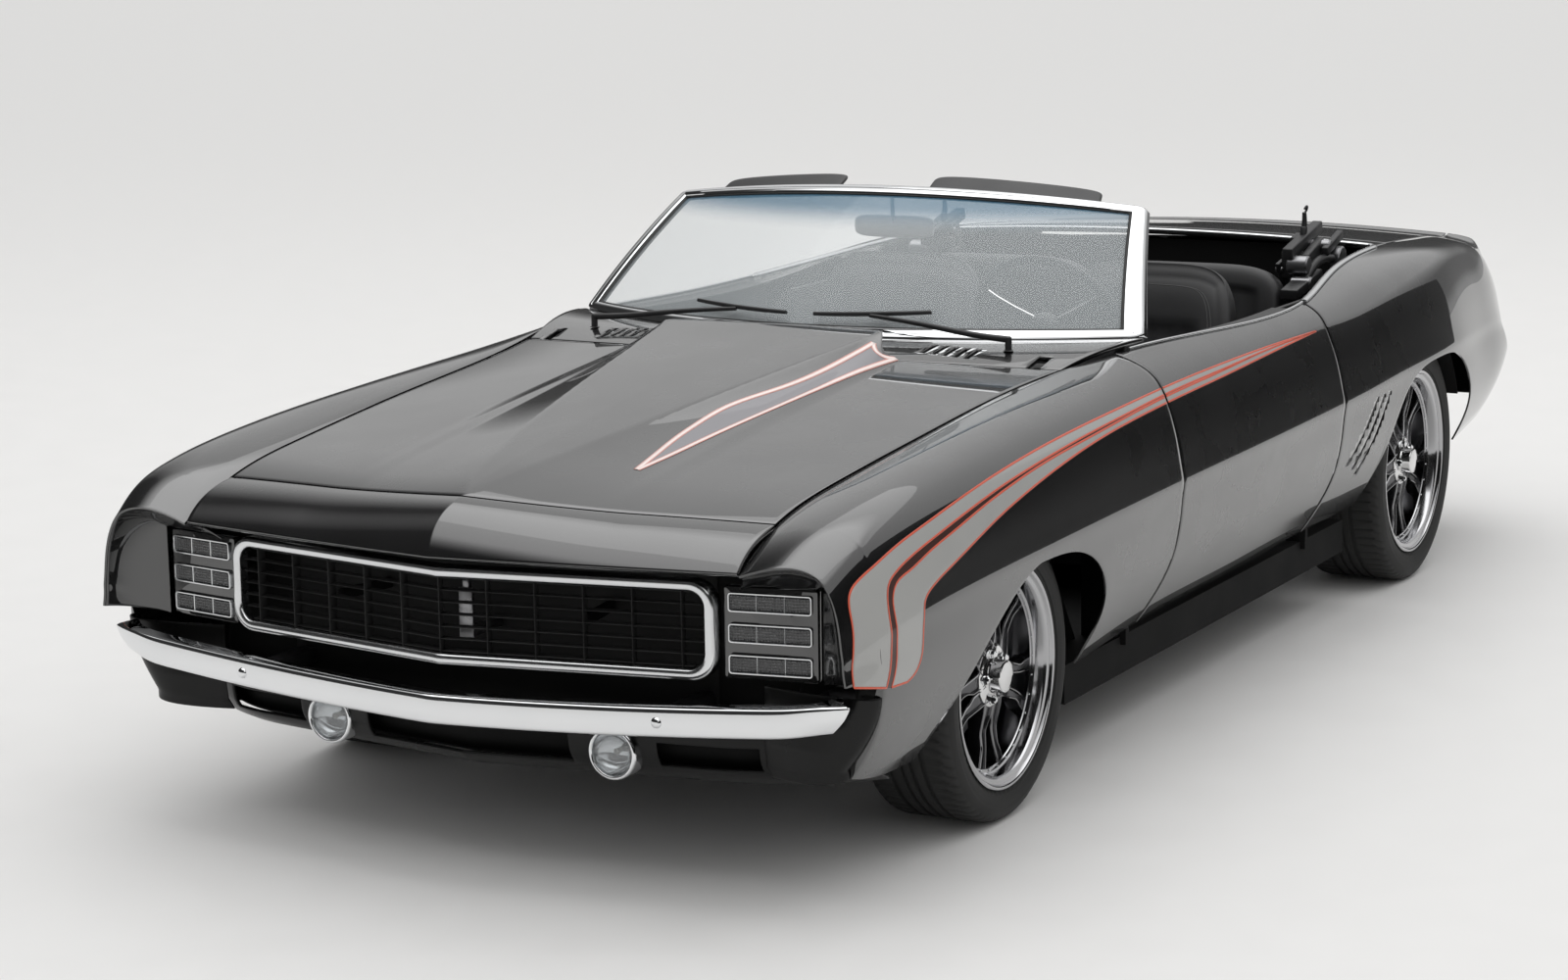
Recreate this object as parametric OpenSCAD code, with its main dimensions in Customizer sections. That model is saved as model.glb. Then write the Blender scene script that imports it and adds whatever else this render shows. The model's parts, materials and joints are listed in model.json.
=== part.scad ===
// Open two-door performance car with the soft top folded away.
// X points forward, Y to the left side, Z up. The ground is Z = 0.

/* [Overall] */
// Distance between the front and rear axles
wheelbase = 2743; // [2650:1:2850]
// From the front axle to the tip of the front bumper
front_overhang = 932; // [900:1:980]
// From the rear axle to the back of the rear bumper
rear_overhang = 1049; // [1010:1:1100]
// Greatest width of the body
body_w = 1880; // [1840:1:1920]
// Sheet thickness of the body panels
skin = 5; // [3:0.5:8]
// Gap between neighbouring fixed panels
seam = 4; // [2:0.5:6]
// Gap round the doors, the hood and the trunk lid
shut = 8; // [6:0.5:10]

/* [Wheels] */
// Distance between the front tyre centres
front_track = 1500; // [1470:1:1520]
// Distance between the rear tyre centres
rear_track = 1490; // [1460:1:1510]
// Radius of the front tyres
front_tyre_r = 314; // [308:1:322]
// Radius of the rear tyres
rear_tyre_r = 338; // [330:1:345]
// Width of the front tyres
front_tyre_w = 225; // [205:1:235]
// Width of the rear tyres
rear_tyre_w = 255; // [235:1:275]
// Radius of the front rims over the lip
front_rim_r = 243; // [232:1:250]
// Radius of the rear rims over the lip
rear_rim_r = 258; // [245:1:264]
// Depth of the spoke face behind the rim lip
spoke_dish = 48; // [35:1:60]
// Number of split spokes
spoke_count = 5; // [4:1:7]
// Radius of the wheel spindles
spindle_r = 30; // [25:0.5:35]

/* [Front] */
// Sweep of the nose in plan, as a slope
nose_sweep = 0.125; // [0.08:0.005:0.17]
// Half width of the header panel between the fenders
header_half = 667; // [640:1:690]
// Half width of the grille surround
grille_half = 585; // [560:1:610]
// Height of the middle of the grille
grille_z = 549; // [540:1:560]
// Height of the grille surround
grille_h = 204; // [180:1:220]
// Number of upright grille bars each side
grille_upright_count = 5; // [4:1:9]
// Number of level grille bars
grille_level_count = 6; // [4:1:8]
// Height of the middle of the front bumper
bumper_z = 366; // [356:1:376]
// Height of the bumper blades
bumper_h = 68; // [60:1:76]
// Radius of the round lamps in the valance
lamp_r = 55; // [45:1:60]
// Distance of the round lamps from the centre line
lamp_y = 345; // [300:1:400]

/* [Body sides] */
// Height of the front wheel arch lip
front_arch_z = 570; // [562:1:585]
// Height of the rear wheel arch lip
rear_arch_z = 640; // [628:1:650]
// Half length of the wheel arches
arch_half = 420; // [410:1:430]
// Squareness of the wheel arches
arch_power = 2.8; // [2.4:0.1:3.2]
// From the front axle back to the front edge of the doors
door_set = 810; // [790:1:830]
// Length of the doors
door_l = 1130; // [1080:1:1160]
// Opening angle of the doors
door_angle = 65; // [50:1:70]

/* [Hood and deck] */
// From the front axle back to the rear corners of the hood
hood_set = 580; // [570:1:590]
// From the front axle to the middle of the hood front edge
hood_reach = 772; // [750:1:790]
// Height of the raised hood centre at its rear
scoop_h = 46; // [30:1:60]
// Half width of the raised hood centre at its rear
scoop_half = 290; // [275:1:305]
// From the rear axle back to the front edge of the trunk lid
lid_set = 262; // [240:1:280]
// Length of the trunk lid
lid_l = 700; // [670:1:715]
// Height of the rear spoiler lip
spoiler_h = 34; // [25:1:45]

/* [Cabin] */
// Height of the windshield header
header_z = 1234; // [1200:1:1260]
// Rake of the windshield from foot to header
screen_rake = 520; // [490:1:540]
// Thickness of the windshield frame
frame_t = 26; // [20:1:32]
// Distance of the front seats from the centre line
seat_y = 370; // [350:1:390]
// Width of the front seats
seat_w = 480; // [440:1:490]
// Radius of the steering wheel
steer_r = 190; // [170:1:200]
// Tilt of the steering wheel from upright
steer_tilt = 24; // [18:1:30]

/* [Hidden] */
$fn = 48;
half_w = body_w / 2;
body_l = wheelbase + front_overhang + rear_overhang;
tip_x = body_l / 2;
front_x = tip_x - front_overhang;
rear_x = front_x - wheelbase;
tail_x = -tip_x;
door_front = front_x - door_set;
door_rear = door_front - door_l;
hood_rear = front_x - hood_set;
hood_front = front_x + hood_reach;
lid_front = rear_x - lid_set;
lid_rear = lid_front - lid_l;
fit = 0.3;
run = 0.05;

// Side lines of the body from tail to nose.
// Columns: place along the car, then inset from the half width and height of
// the top edge, the shoulder, the waist crease and the foot, then the crown.
LINES = [
    [rear_x - 990, 290, 837, 178, 812, 124, 623, 146, 443, 6],
    [rear_x - 887, 280, 868, 156, 840, 102, 634, 128, 402, 6],
    [rear_x - 587, 262, 905, 120, 880, 60, 644, 102, 350, 6],
    [rear_x - 287, 248, 922, 94, 900, 22, 650, 90, 318, 6],
    [rear_x, 236, 925, 78, 902, 3, 650, 92, 296, 6],
    [rear_x + 313, 208, 915, 68, 884, 0, 642, 108, 284, 6],
    [rear_x + 593, 160, 896, 64, 856, 0, 630, 120, 277, 6],
    [rear_x + 803, 126, 883, 62, 838, 2, 622, 126, 274, 6],
    [front_x - 1430, 122, 884, 62, 832, 2, 612, 128, 268, 6],
    [front_x - 810, 180, 896, 62, 842, 2, 604, 126, 262, 8],
    [front_x - 480, 236, 874, 56, 838, 1, 598, 116, 251, 14],
    [front_x, 256, 834, 50, 822, 0, 590, 102, 240, 20],
    [front_x + 420, 268, 791, 46, 794, 6, 575, 94, 237, 25],
    [front_x + 650, 272, 753, 52, 762, 18, 557, 92, 251, 28],
    [front_x + 750, 273, 718, 62, 734, 30, 542, 96, 276, 28],
    [front_x + 832, 273, 676, 82, 690, 46, 524, 104, 310, 24]
];

// Natural cubic spline through one column of the table.
function column(k) = [for (r = LINES) r[k]];
LX = column(0);
function sweep(x, y, i = 1, c = [0], d = [0]) = i >= len(x) - 1 ? [c, d] :
    let (a = x[i] - x[i - 1], b = x[i + 1] - x[i])
    let (q = 6 * ((y[i + 1] - y[i]) / b - (y[i] - y[i - 1]) / a))
    let (m = 2 * (a + b) - a * c[i - 1])
    sweep(x, y, i + 1, concat(c, [b / m]), concat(d, [(q - a * d[i - 1]) / m]));
function back(c, d, i, m) = i < 1 ? concat([0], m) :
    back(c, d, i - 1, concat([d[i] - c[i] * m[0]], m));
function bends(x, y) = let (s = sweep(x, y)) back(s[0], s[1], len(x) - 2, [0]);
function span(x, v, i = 0) = i >= len(x) - 2 || v < x[i + 1] ? i : span(x, v, i + 1);
function spline(x, y, m, v) =
    let (i = span(x, v), h = x[i + 1] - x[i], a = (x[i + 1] - v) / h, b = 1 - a)
    a * y[i] + b * y[i + 1]
    + ((a * a * a - a) * m[i] + (b * b * b - b) * m[i + 1]) * h * h / 6;
COLS = [for (k = [0:9]) column(k)];
BENDS = [for (k = [0:9]) k == 0 ? [] : bends(LX, COLS[k])];
function line(k, x) = spline(LX, COLS[k], BENDS[k], x);
function edge_pt(x) = [half_w - line(1, x), line(2, x)];
function shoulder_pt(x) = [half_w - line(3, x), line(4, x)];
function waist_pt(x) = [half_w - line(5, x), line(6, x)];
function foot_pt(x) = [half_w - line(7, x), line(8, x)];
function mix(a, b, t) = a + (b - a) * t;

// Rounded side section at one place along the car, from top edge to foot.
function cage(x) =
    let (e = edge_pt(x), s = shoulder_pt(x), w = waist_pt(x), f = foot_pt(x), c = line(9, x))
    [e, mix(e, s, 0.42) + [0, c], mix(e, s, 0.84) + [0, 0.6 * c], mix(s, w, 0.14),
     mix(s, w, 0.5) + [8, 0], mix(s, w, 0.88), w, mix(w, f, 0.1) + [4, 0],
     mix(w, f, 0.38) + [34, 0], mix(w, f, 0.7) + [38, 0], f];
function knot(i, s) = max(0, min(i - 3, s));
function step(p, q, k, j, r, u, s) =
    let (a = knot(j + k, s), b = knot(j + k + 4 - r, s), t = (u - a) / (b - a))
    mix(p, q, t);
function curve(p, t) =
    let (s = len(p) - 3, u = min(0.99999, max(0, t)) * s, k = floor(u))
    let (a = step(p[k], p[k + 1], k, 1, 1, u, s))
    let (b = step(p[k + 1], p[k + 2], k, 2, 1, u, s))
    let (c = step(p[k + 2], p[k + 3], k, 3, 1, u, s))
    let (d = step(a, b, k, 2, 2, u, s), e = step(b, c, k, 3, 2, u, s))
    step(d, e, k, 3, 3, u, s);
function seek(p, z, a = 0.3, b = 1, n = 14) = n == 0 ? (a + b) / 2 :
    let (m = (a + b) / 2) curve(p, m)[1] > z ? seek(p, z, m, b, n - 1) : seek(p, z, a, m, n - 1);
function unit(v) = v / norm(v);
function out(p, t) = let (d = unit(curve(p, t + 0.01) - curve(p, t - 0.01))) [-d[1], d[0]];

// Lower edge of the side panels with the wheel arches taken out.
// The front arch falls away faster ahead of the axle.
nose_half = arch_half + 20;
nose_power = 1.45;
arch_foot = 230;
function bow(d, p) = d >= 1 ? 0 : pow(1 - pow(d, p), 1 / p);
function arch(x, cx, top, half, p) = let (b = bow(abs(x - cx) / half, p))
    b > 0 ? mix(arch_foot, top, b) : 0;
function front_arch(x) = x > front_x ? arch(x, front_x, front_arch_z, nose_half, nose_power)
    : arch(x, front_x, front_arch_z, arch_half, arch_power);
notch_x = front_x + 716;
notch_z = 478;
function hem(x) = max(foot_pt(x)[1], front_arch(x), arch(x, rear_x, rear_arch_z, arch_half, arch_power),
    x > notch_x ? notch_z : 0);
function arch_x(cx, half, p, n) = [for (i = [1:n]) cx + half * pow(sin(90 * i / n), 2 / p)];
function mirrored(xs, cx) = [for (i = [len(xs) - 1:-1:0]) 2 * cx - xs[i]];
front_arch_xs = concat(mirrored(arch_x(front_x, arch_half, arch_power, 7), front_x), [front_x],
    arch_x(front_x, nose_half, nose_power, 8));
rear_arch_xs = let (a = arch_x(rear_x, arch_half, arch_power, 7)) concat(mirrored(a, rear_x), [rear_x], a);

// Side patch between two depths below the outer surface.
side_rows = 13;
function side(xs, depth, from = 0, to = 1, end_h = 0) = [for (x = xs)
    let (p = cage(x), e = seek(p, hem(x)))
    [for (j = [0:side_rows - 1])
        let (t = e * mix(from, to, j / (side_rows - 1)), c = curve(p, t) - depth * out(p, t))
        [x, c[0], c[1] + end_h * pow(lip_share(x), 2) * (1 - smooth((t - 0.08) / 0.12))]]];
lip_l = 150;
function lip_share(x) = max(0, min(1, (lid_rear + lip_l - x) / lip_l));
function smooth(v) = let (r = max(0, min(1, v))) r * r * (3 - 2 * r);
function flat_y(grid, y) = [for (r = grid) [for (p = r) [p[0], y, p[2]]]];
function spread(a, b, n) = [for (i = [0:n]) a + (b - a) * i / n];

// Thick sheet between an outer and an inner grid of points.
function quad(a, b, c, d) = [[a, b, c], [a, c, d]];
function run_of(lists) = [for (l = lists) for (e = l) e];
module sheet(o, i) {
    n = len(o);
    m = len(o[0]);
    k = n * m;
    a_max = n - 1;
    b_max = m - 1;
    polyhedron(concat(run_of(o), run_of(i)), run_of(concat(
        [for (a = [0:n - 2]) for (b = [0:m - 2]) let (p = a * m + b)
            quad(p, p + 1, p + m + 1, p + m)],
        [for (a = [0:n - 2]) for (b = [0:m - 2]) let (p = k + a * m + b)
            quad(p, p + m, p + m + 1, p + 1)],
        [for (a = [0:n - 2]) let (p = a * m) quad(p, p + m, k + p + m, k + p)],
        [for (a = [0:n - 2]) let (p = a * m + b_max) quad(p + m, p, k + p, k + p + m)],
        [for (b = [0:m - 2]) quad(b + 1, b, k + b, k + b + 1)],
        [for (b = [0:m - 2]) let (p = a_max * m + b) quad(p, p + 1, k + p + 1, k + p)])));
}
function lower(grid, d) = [for (r = grid) [for (p = r) p - d]];
module pair() {
    children();
    mirror([0, 1, 0]) children();
}
module rod(a, b, r) {
    d = b - a;
    translate(a) rotate([0, acos(d[2] / norm(d)), atan2(d[1], d[0])]) cylinder(h = norm(d), r = r);
}
module block(lo, hi) {
    translate(lo) cube(hi - lo);
}

// Body panels
fender_front = front_x + 832;
fender_xs = concat([door_front + shut, door_front + 100, door_front + 200, door_front + 300],
    front_arch_xs, [front_x + 500, front_x + 570, front_x + 640, notch_x, notch_x + 8],
    [front_x + 760, front_x + 800, fender_front]);
module fender() {
    sheet(side(fender_xs, 0), side(fender_xs, skin));
}
module fender_left() {
    color("#0b0b0d") fender();
}
module fender_right() {
    color("#0b0b0d") mirror([0, 1, 0]) fender();
}
quarter_xs = concat([rear_x - 980, rear_x - 940, rear_x - 870, rear_x - 760, rear_x - 630, rear_x - 500],
    rear_arch_xs, [mix(rear_x, door_rear, 0.62), mix(rear_x, door_rear, 0.75),
        mix(rear_x, door_rear, 0.88), door_rear]);
slot_w = 12;
slot_zs = [411, 604];
module side_slot(i) {
    a = rear_x + arch_half + 176 + 56 * i;
    b = rear_x + arch_half + 12 + 50 * i;
    rotate([90, 0, 0]) translate([0, 0, -half_w - 10]) linear_extrude(140) polygon([[a, slot_zs[0] + 16 * i],
        [a + slot_w, slot_zs[0] + 16 * i], [b + slot_w, slot_zs[1]], [b, slot_zs[1]]]);
}
module quarter() {
    difference() {
        sheet(side(quarter_xs, 0, end_h = spoiler_h), side(quarter_xs, skin, end_h = spoiler_h));
        for (i = [0:2]) side_slot(i);
    }
}
module quarter_left() {
    color("#0b0b0d") quarter();
}
module quarter_right() {
    color("#0b0b0d") mirror([0, 1, 0]) quarter();
}

// Doors and their hinges
door_skin = 18;
door_in = half_w - 195;
hinge_x = door_front - 60;
hinge_y = half_w - 65;
hinge_zs = [505, 705];
hinge_r = 7;
hinge_h = 22;
door_xs = spread(door_rear + shut, door_front, 9);
box_xs = spread(door_rear + shut + 45, hinge_x - 18, 8);
module door() {
    sheet(side(door_xs, 0), side(door_xs, door_skin));
    sheet(side(box_xs, door_skin / 2, 0, 0.985), flat_y(side(box_xs, door_skin / 2, 0, 0.985), door_in));
    difference() {
        for (z = hinge_zs) {
            translate([hinge_x, hinge_y, z]) cylinder(h = hinge_h, r = 2 * hinge_r);
            block([hinge_x - 40, hinge_y - 14, z], [hinge_x, hinge_y + 14, z + hinge_h]);
        }
        translate([hinge_x, hinge_y, floor_z]) cylinder(h = body_w, r = hinge_r + run);
    }
}
module door_left() {
    color("#0b0b0d") door();
}
module door_right() {
    color("#0b0b0d") mirror([0, 1, 0]) door();
}

// Hood with a raised centre that opens to the windshield
hood_t = 14;
hood_rows = 16;
hood_bow = 120;
tongue_set = 18;
tongue_in = 34;
scoop_foot = 360;
hood_ts = [0, 0.08, 0.16, 0.24, 0.32, 0.38, 0.43, 0.48, 0.53, 0.6, 0.7, 0.8, 0.9, 1];
hood_cols = [for (j = [len(hood_ts) - 1:-1:1]) -hood_ts[j]];
function hood_end(y) = hood_front - 0.16 * abs(y);
function hood_tail(y) = hood_rear + hood_bow * (1 - pow(y / header_half, 2));
function tongue(y) = smooth((scoop_foot - tongue_in - abs(y)) / 50);
function hood_crown(s) = mix(22, 10, s);
function scoop(s, y) = let (w = scoop_half * pow(1 - s, 0.8))
    mix(scoop_h, 16, s) * smooth((scoop_foot - abs(y)) / (scoop_foot - w));
function hood_top(s, t) =
    let (xe = mix(hood_rear, hood_end(header_half), s), e = edge_pt(xe), y = t * (e[0] - shut))
    [mix(mix(hood_tail(y), hood_rear + tongue_set, tongue(y)), hood_end(y), s), y,
     e[1] + hood_crown(s) * (1 - t * t) + scoop(s, y)];
function hood_grid(d) = [for (i = [0:hood_rows]) [for (t = concat(hood_cols, hood_ts))
    hood_top(i / hood_rows, t) - [0, 0, d]]];
strap_y = header_half - 27;
strap_w = 24;
strap_r = 6;
hood_pin = [hood_rear - 60, strap_y, hood_top(0, 0.95)[2] - 18];
module strap(pin, reach, rise) {
    difference() {
        union() {
            translate(pin) rotate([-90, 0, 0]) cylinder(h = strap_w, r = 2 * strap_r);
            block(pin + [min(0, reach), 0, -2 * strap_r], pin + [max(0, reach), strap_w, 4]);
            block(pin + [min(0.62 * reach, reach), 0, 0], pin + [max(0.62 * reach, reach), strap_w, rise]);
        }
        translate(pin - [0, 5, 0]) rotate([-90, 0, 0]) cylinder(h = strap_w + 10, r = strap_r + run);
    }
}
module strap_ears(pin, top) {
    for (y = [-12, strap_w + 2]) block(pin + [-14, y, -14], pin + [14, y + 10, top]);
    translate(pin - [0, 6, 0]) rotate([-90, 0, 0]) cylinder(h = strap_w + 12, r = strap_r);
}
module strap_slot(pin, reach) {
    block(pin + [min(-20, reach), -4, -2], pin + [max(20, reach), strap_w + 4, 100]);
}
module hood() {
    color("#0b0b0d") {
        sheet(hood_grid(0), hood_grid(hood_t));
        pair() strap(hood_pin, 110, 8);
    }
}

// Header panel between hood and grille
lip_x = tip_x - 18;
nose_t = 12;
function lip(y) = [lip_x - nose_sweep * abs(y), y, 674 + 6 * pow(y / header_half, 2)];
function head(y) = let (p = hood_top(1, min(1, abs(y) / (header_half - shut)))) [p[0] + shut, y, p[2]];
function nose(y, s) = let (a = lip(y), b = head(y))
    let (c = [mix(b[0], a[0], 0.68), y, b[2] - 12]) mix(mix(a, c, s), mix(c, b, s), s);
nose_ys = spread(-header_half + seam, header_half - seam, 20);
function nose_grid(d) = [for (y = nose_ys) [for (s = spread(0, 1, 8)) nose(y, s) - d * [1 - s, 0, 1]]];
module nose_panel() {
    color("#0b0b0d") sheet(nose_grid(0), nose_grid(nose_t));
}

// Grille with a rounded surround, swept back from the middle
face_x = tip_x - 46;
face_turn = atan(0.17);
surround_t = 24;
surround_d = 30;
module on_face() {
    pair() translate([face_x, 0, 0]) rotate([0, 0, face_turn]) children();
}
module rounded(w, h, r) {
    square([w - 2 * r, h], center = true);
    square([w, h - 2 * r], center = true);
    for (a = [-1, 1]) for (b = [-1, 1]) translate([a * (w / 2 - r), b * (h / 2 - r)]) circle(r);
}
module grille_bore(inset, r) {
    translate([0, 0, grille_z]) rotate([90, 0, 90]) linear_extrude(2 * tip_x)
        rounded(2 * (grille_half - inset), grille_h - 2 * inset, r);
}
module grille_surround() {
    color("#d0d3d6") difference() {
        intersection() {
            grille_bore(0, 52);
            on_face() block([-surround_d, -surround_d, 0], [0, 1.2 * grille_half, body_w]);
        }
        grille_bore(surround_t, 32);
    }
}
bar_t = 5;
bar_d = 26;
bar_back = 36;
grille_open = grille_h - 2 * surround_t - 2 * fit;
upright_pitch = (grille_half - surround_t) / (grille_upright_count + 0.4);
level_pitch = (grille_open - bar_t) / grille_level_count;
module grille() {
    color("#151517") intersection() {
        on_face() {
            for (i = [0:grille_upright_count]) block([-bar_back, i * upright_pitch, 0],
                [bar_d - bar_back, i * upright_pitch + bar_t, body_w]);
            for (i = [0:grille_level_count]) let (z = grille_z - grille_open / 2 + i * level_pitch)
                block([-bar_back - 4, -bar_d, z], [bar_d - bar_back - 4, 1.2 * grille_half, z + bar_t]);
        }
        grille_bore(surround_t + fit, 32);
    }
}

// Covers over the headlamps, each with three framed glass bars
cover_y0 = grille_half + 21;
cover_y1 = half_w - 140;
cover_z0 = 452;
cover_z1 = 638;
cover_zs = [[607, 40], [545, 40], [483, 40]];
cover_back = 24;
bar_rim = 5;
cover_t = 22;
// Cove from the front edge of the fender in to the cover
cove_rows = 12;
function cove_at(y) = face_x - 0.17 * y - cover_back + 4;
function cove(k) = let (x = fender_front - 3, p = cage(x), t = seek(p, notch_z) * k / cove_rows)
    let (o = curve(p, t) - (skin + 1) * out(p, t))
    let (y = min(o[0] - 40, cover_y1 - 4), z = max(cover_z0, min(o[1] - 40, cover_z1 + 4)))
    let (a = [cove_at(y), y, z], b = [x, o[0], o[1]],
        m = [mix(a[0], b[0], 0.35), mix(a[1], b[1], 0.7), mix(a[2], b[2], 0.7)])
    [for (s = spread(0, 1, 4)) mix(mix(a, m, s), mix(m, b, s), s)];
cove_grid = [for (k = [0:cove_rows]) cove(k)];
module headlamp_covers() {
    color("#0b0b0d") pair() sheet(cove_grid, lower(cove_grid, [5, 0, 0]));
    color("#26282b") on_face() {
        block([-cover_back - cover_t, cover_y0, cover_z0], [-cover_back, cover_y1, cover_z1]);
        for (c = cover_zs) difference() {
            block([-cover_back - 1, cover_y0 + 10, c[0] - c[1] / 2],
                [-cover_back + 8, cover_y1 - 10, c[0] + c[1] / 2]);
            block([-cover_back + 4, cover_y0 + 10 + bar_rim, c[0] - c[1] / 2 + bar_rim],
                [-cover_back + 9, cover_y1 - 10 - bar_rim, c[0] + c[1] / 2 - bar_rim]);
        }
    }
}

// Bumpers
front_bumper_half = half_w - 48;
rear_bumper_half = half_w - 56;
bump_t = 12;
bump_rows = [[-0.5, -30], [-0.46, -10], [-0.3, -2], [0, 0], [0.3, -4], [0.46, -12], [0.5, -32]];
function bump_ys(h) = [for (i = [-12:12]) h * sign(i) * (1 - pow(1 - abs(i) / 12, 1.35))];
function bump_x(y, slope, wrap, from, h) =
    tip_x - slope * abs(y) - wrap * pow(max(0, abs(y) - from) / (h - from), 2.2);
function blade(h, z, rise, slope, wrap, from, wing, d) = [for (y = bump_ys(h)) [for (r = bump_rows)
    [bump_x(y, slope, wrap, from, h) + r[1] - d, y,
     z + rise * pow(y / h, 2) + r[0] * (bumper_h - (d > 0 ? 10 : 0))
     + (r[0] > 0 ? wing * smooth((abs(y) - h + 70) / 40) : 0)]]];
module bumper(h, z, rise, slope, wrap, from, wing) {
    sheet(blade(h, z, rise, slope, wrap, from, wing, 0), blade(h, z, rise, slope, wrap, from, wing, bump_t));
}
bracket_y = 470;
bracket_w = 40;
module front_bumper() {
    color("#e4e6e8") {
        bumper(front_bumper_half, bumper_z, 38, 0.12, 24, front_bumper_half - 132, 14);
        pair() block([support_x + support_t + fit, bracket_y, bumper_z - 9],
            [tip_x - 66, bracket_y + bracket_w, bumper_z + 24]);
    }
}
rear_bumper_z = 470;
module rear_bumper() {
    color("#e4e6e8") rotate([0, 0, 180]) {
        bumper(rear_bumper_half, rear_bumper_z, 0, 0.015, 110, rear_bumper_half - 64, 0);
        pair() block([-tail_out(bracket_y, rear_bumper_z + 20) + fit, bracket_y, rear_bumper_z - 20],
            [tip_x - 14, bracket_y + bracket_w, rear_bumper_z + 20]);
    }
}

// Valance below the front bumper with air slots and round lamps
val_x = tip_x - 104;
val_half = half_w - 114;
val_t = 10;
val_rows = [[-90, 212], [-34, 230], [-4, 270], [4, 316], [0, 352]];
function val_at(y) = val_x - 0.15 * abs(y) - 120 * pow(max(0, abs(y) - val_half + 266) / 270, 2);
function valance(d) = [for (y = spread(-val_half, val_half, 20)) [for (r = val_rows)
    [val_at(y) + r[0] - d, y, r[1] + 0.3 * d]]];
lamp_z = 278;
module front_valance() {
    color("#121214") difference() {
        sheet(valance(0), valance(val_t));
        pair() {
            translate([0, lamp_y, lamp_z]) rotate([0, 90, 0]) cylinder(h = 2 * tip_x, r = lamp_r + 1);
            block([0, lamp_y + 90, lamp_z - 26], [tip_x, lamp_y + 300, lamp_z + 26]);
        }
        block([0, 100 - lamp_y, lamp_z - 32], [tip_x, lamp_y - 100, lamp_z + 34]);
    }
}
module parking_lamps() {
    color("#e8eaec") pair() translate([val_at(lamp_y) - 30, lamp_y, lamp_z]) rotate([0, 90, 0]) {
        difference() {
            cylinder(h = 44, r = lamp_r + 1 - fit);
            translate([0, 0, 10]) cylinder(h = 40, r = lamp_r - 8);
        }
        translate([0, 0, 10]) cylinder(h = 24, r = lamp_r - 8);
    }
}

// Engine bay walls, front rails and radiator support
apron_y = 430;
wall_t = 10;
support_x = front_x + 640;
support_t = 10;
rail_z0 = 250;
rail_z1 = 320;
val_rest_y = 0.7 * val_half;
module engine_bay() {
    color("#1a1a1c") {
        pair() {
            block([wall_x + plate_t + fit, apron_y, rail_z1 - 1], [support_x + 1, apron_y + wall_t, 700]);
            block([wall_x - 30, apron_y - 60, rail_z0], [support_x + 1, apron_y + wall_t, rail_z1]);
            block([support_x, apron_y, rail_z0], [support_x + support_t, floor_y - 12, 660]);
            block([support_x, val_rest_y - 4, 308], [val_at(val_rest_y) + 2 - val_t - fit, val_rest_y, 316]);
        }
        block([support_x, -apron_y - 1, rail_z0], [support_x + support_t, apron_y + 1, 690]);
        on_face() {
            block([-260, 300, grille_z - 10], [-bar_back - 4 - fit, 316, grille_z + 10]);
            block([-260, 650, grille_z - 10], [-cover_back - cover_t - fit, 670, grille_z + 10]);
        }
        let (p = nose(0, 0.875)) {
            block([p[0] - 8, -12, 670], [p[0] - 2, 12, p[2] - nose_t - 3 * fit]);
            block([support_x, -12, 660], [p[0] - 2, 12, 675]);
        }
    }
}

// Floor, tunnel, firewall, wheelhouses and trunk floor
floor_y = half_w - 228;
floor_z = 180;
plate_t = 12;
wall_x = hood_rear + 20;
kick_x = rear_x + 420;
hump_z = 480;
trunk_z = 400;
tyre_gap = 27.5;
trunk_y = rear_track / 2 - rear_tyre_w / 2 - tyre_gap;
wall_top = 845;
tunnel_y = 120;
tunnel_z = 400;
shackle_xs = [rear_x - 590, rear_x + 300];
spring_y = 520;
spring_w = 40;
spring_z = 312;
bulk_x = rear_x - 180;
module bent_plate(points, w) {
    rotate([90, 0, 0]) translate([0, 0, -w]) linear_extrude(2 * w) polygon(concat(points,
        [for (i = [len(points) - 1:-1:0]) points[i] + [0, plate_t]]));
}
module tunnel_core() {
    block([kick_x - 120, -tunnel_y + plate_t, 0], [wall_x + 30, tunnel_y - plate_t, tunnel_z - plate_t]);
}
post_x = door_front + 24;
sill_x0 = rear_x + arch_half + 4;
sill_x1 = front_x - arch_half - 4;
sill_y = half_w - 140;
post_y = half_w - 145;
sill_z = 150;
sill_top = 240;
module foot_rest(x, drop) {
    f = foot_pt(x);
    block([x - 10, sill_y - 40, sill_top - 20], [x + 10, f[0] - 2, f[1] - drop]);
}
jack_w = 60;
jack_l = 120;
jack_drop = 8;
module sills() {
    pair() {
        difference() {
            block([sill_x0, floor_y - 1, sill_z], [sill_x1, sill_y, sill_top]);
            block([sill_x0 + plate_t, floor_y + plate_t, sill_z + plate_t],
                [sill_x1 - plate_t, sill_y - plate_t, sill_top - plate_t]);
        }
        for (x = [sill_x0 + 60, sill_x1 - 60 - jack_l])
            block([x, floor_y + 14, sill_z - jack_drop], [x + jack_l, floor_y + 14 + jack_w, sill_z + 2]);
        block([post_x, floor_y - 1, sill_top - 1], [post_x + 60, post_y, 785]);
        foot_rest(door_front + 50, -0.6);
        foot_rest(door_rear - 50, 0.6);
        for (z = hinge_zs) {
            block([hinge_x - 10, post_y - 25, z - hinge_h], [post_x + 1, post_y, z - 1]);
            block([hinge_x - 10, post_y - 25, z - hinge_h], [hinge_x + 10, hinge_y, z - 1]);
            translate([hinge_x, hinge_y, z - hinge_h]) cylinder(h = hinge_h - 1, r = 2 * hinge_r);
            translate([hinge_x, hinge_y, z - hinge_h]) cylinder(h = 2 * hinge_h + 4, r = hinge_r);
        }
    }
}
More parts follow.
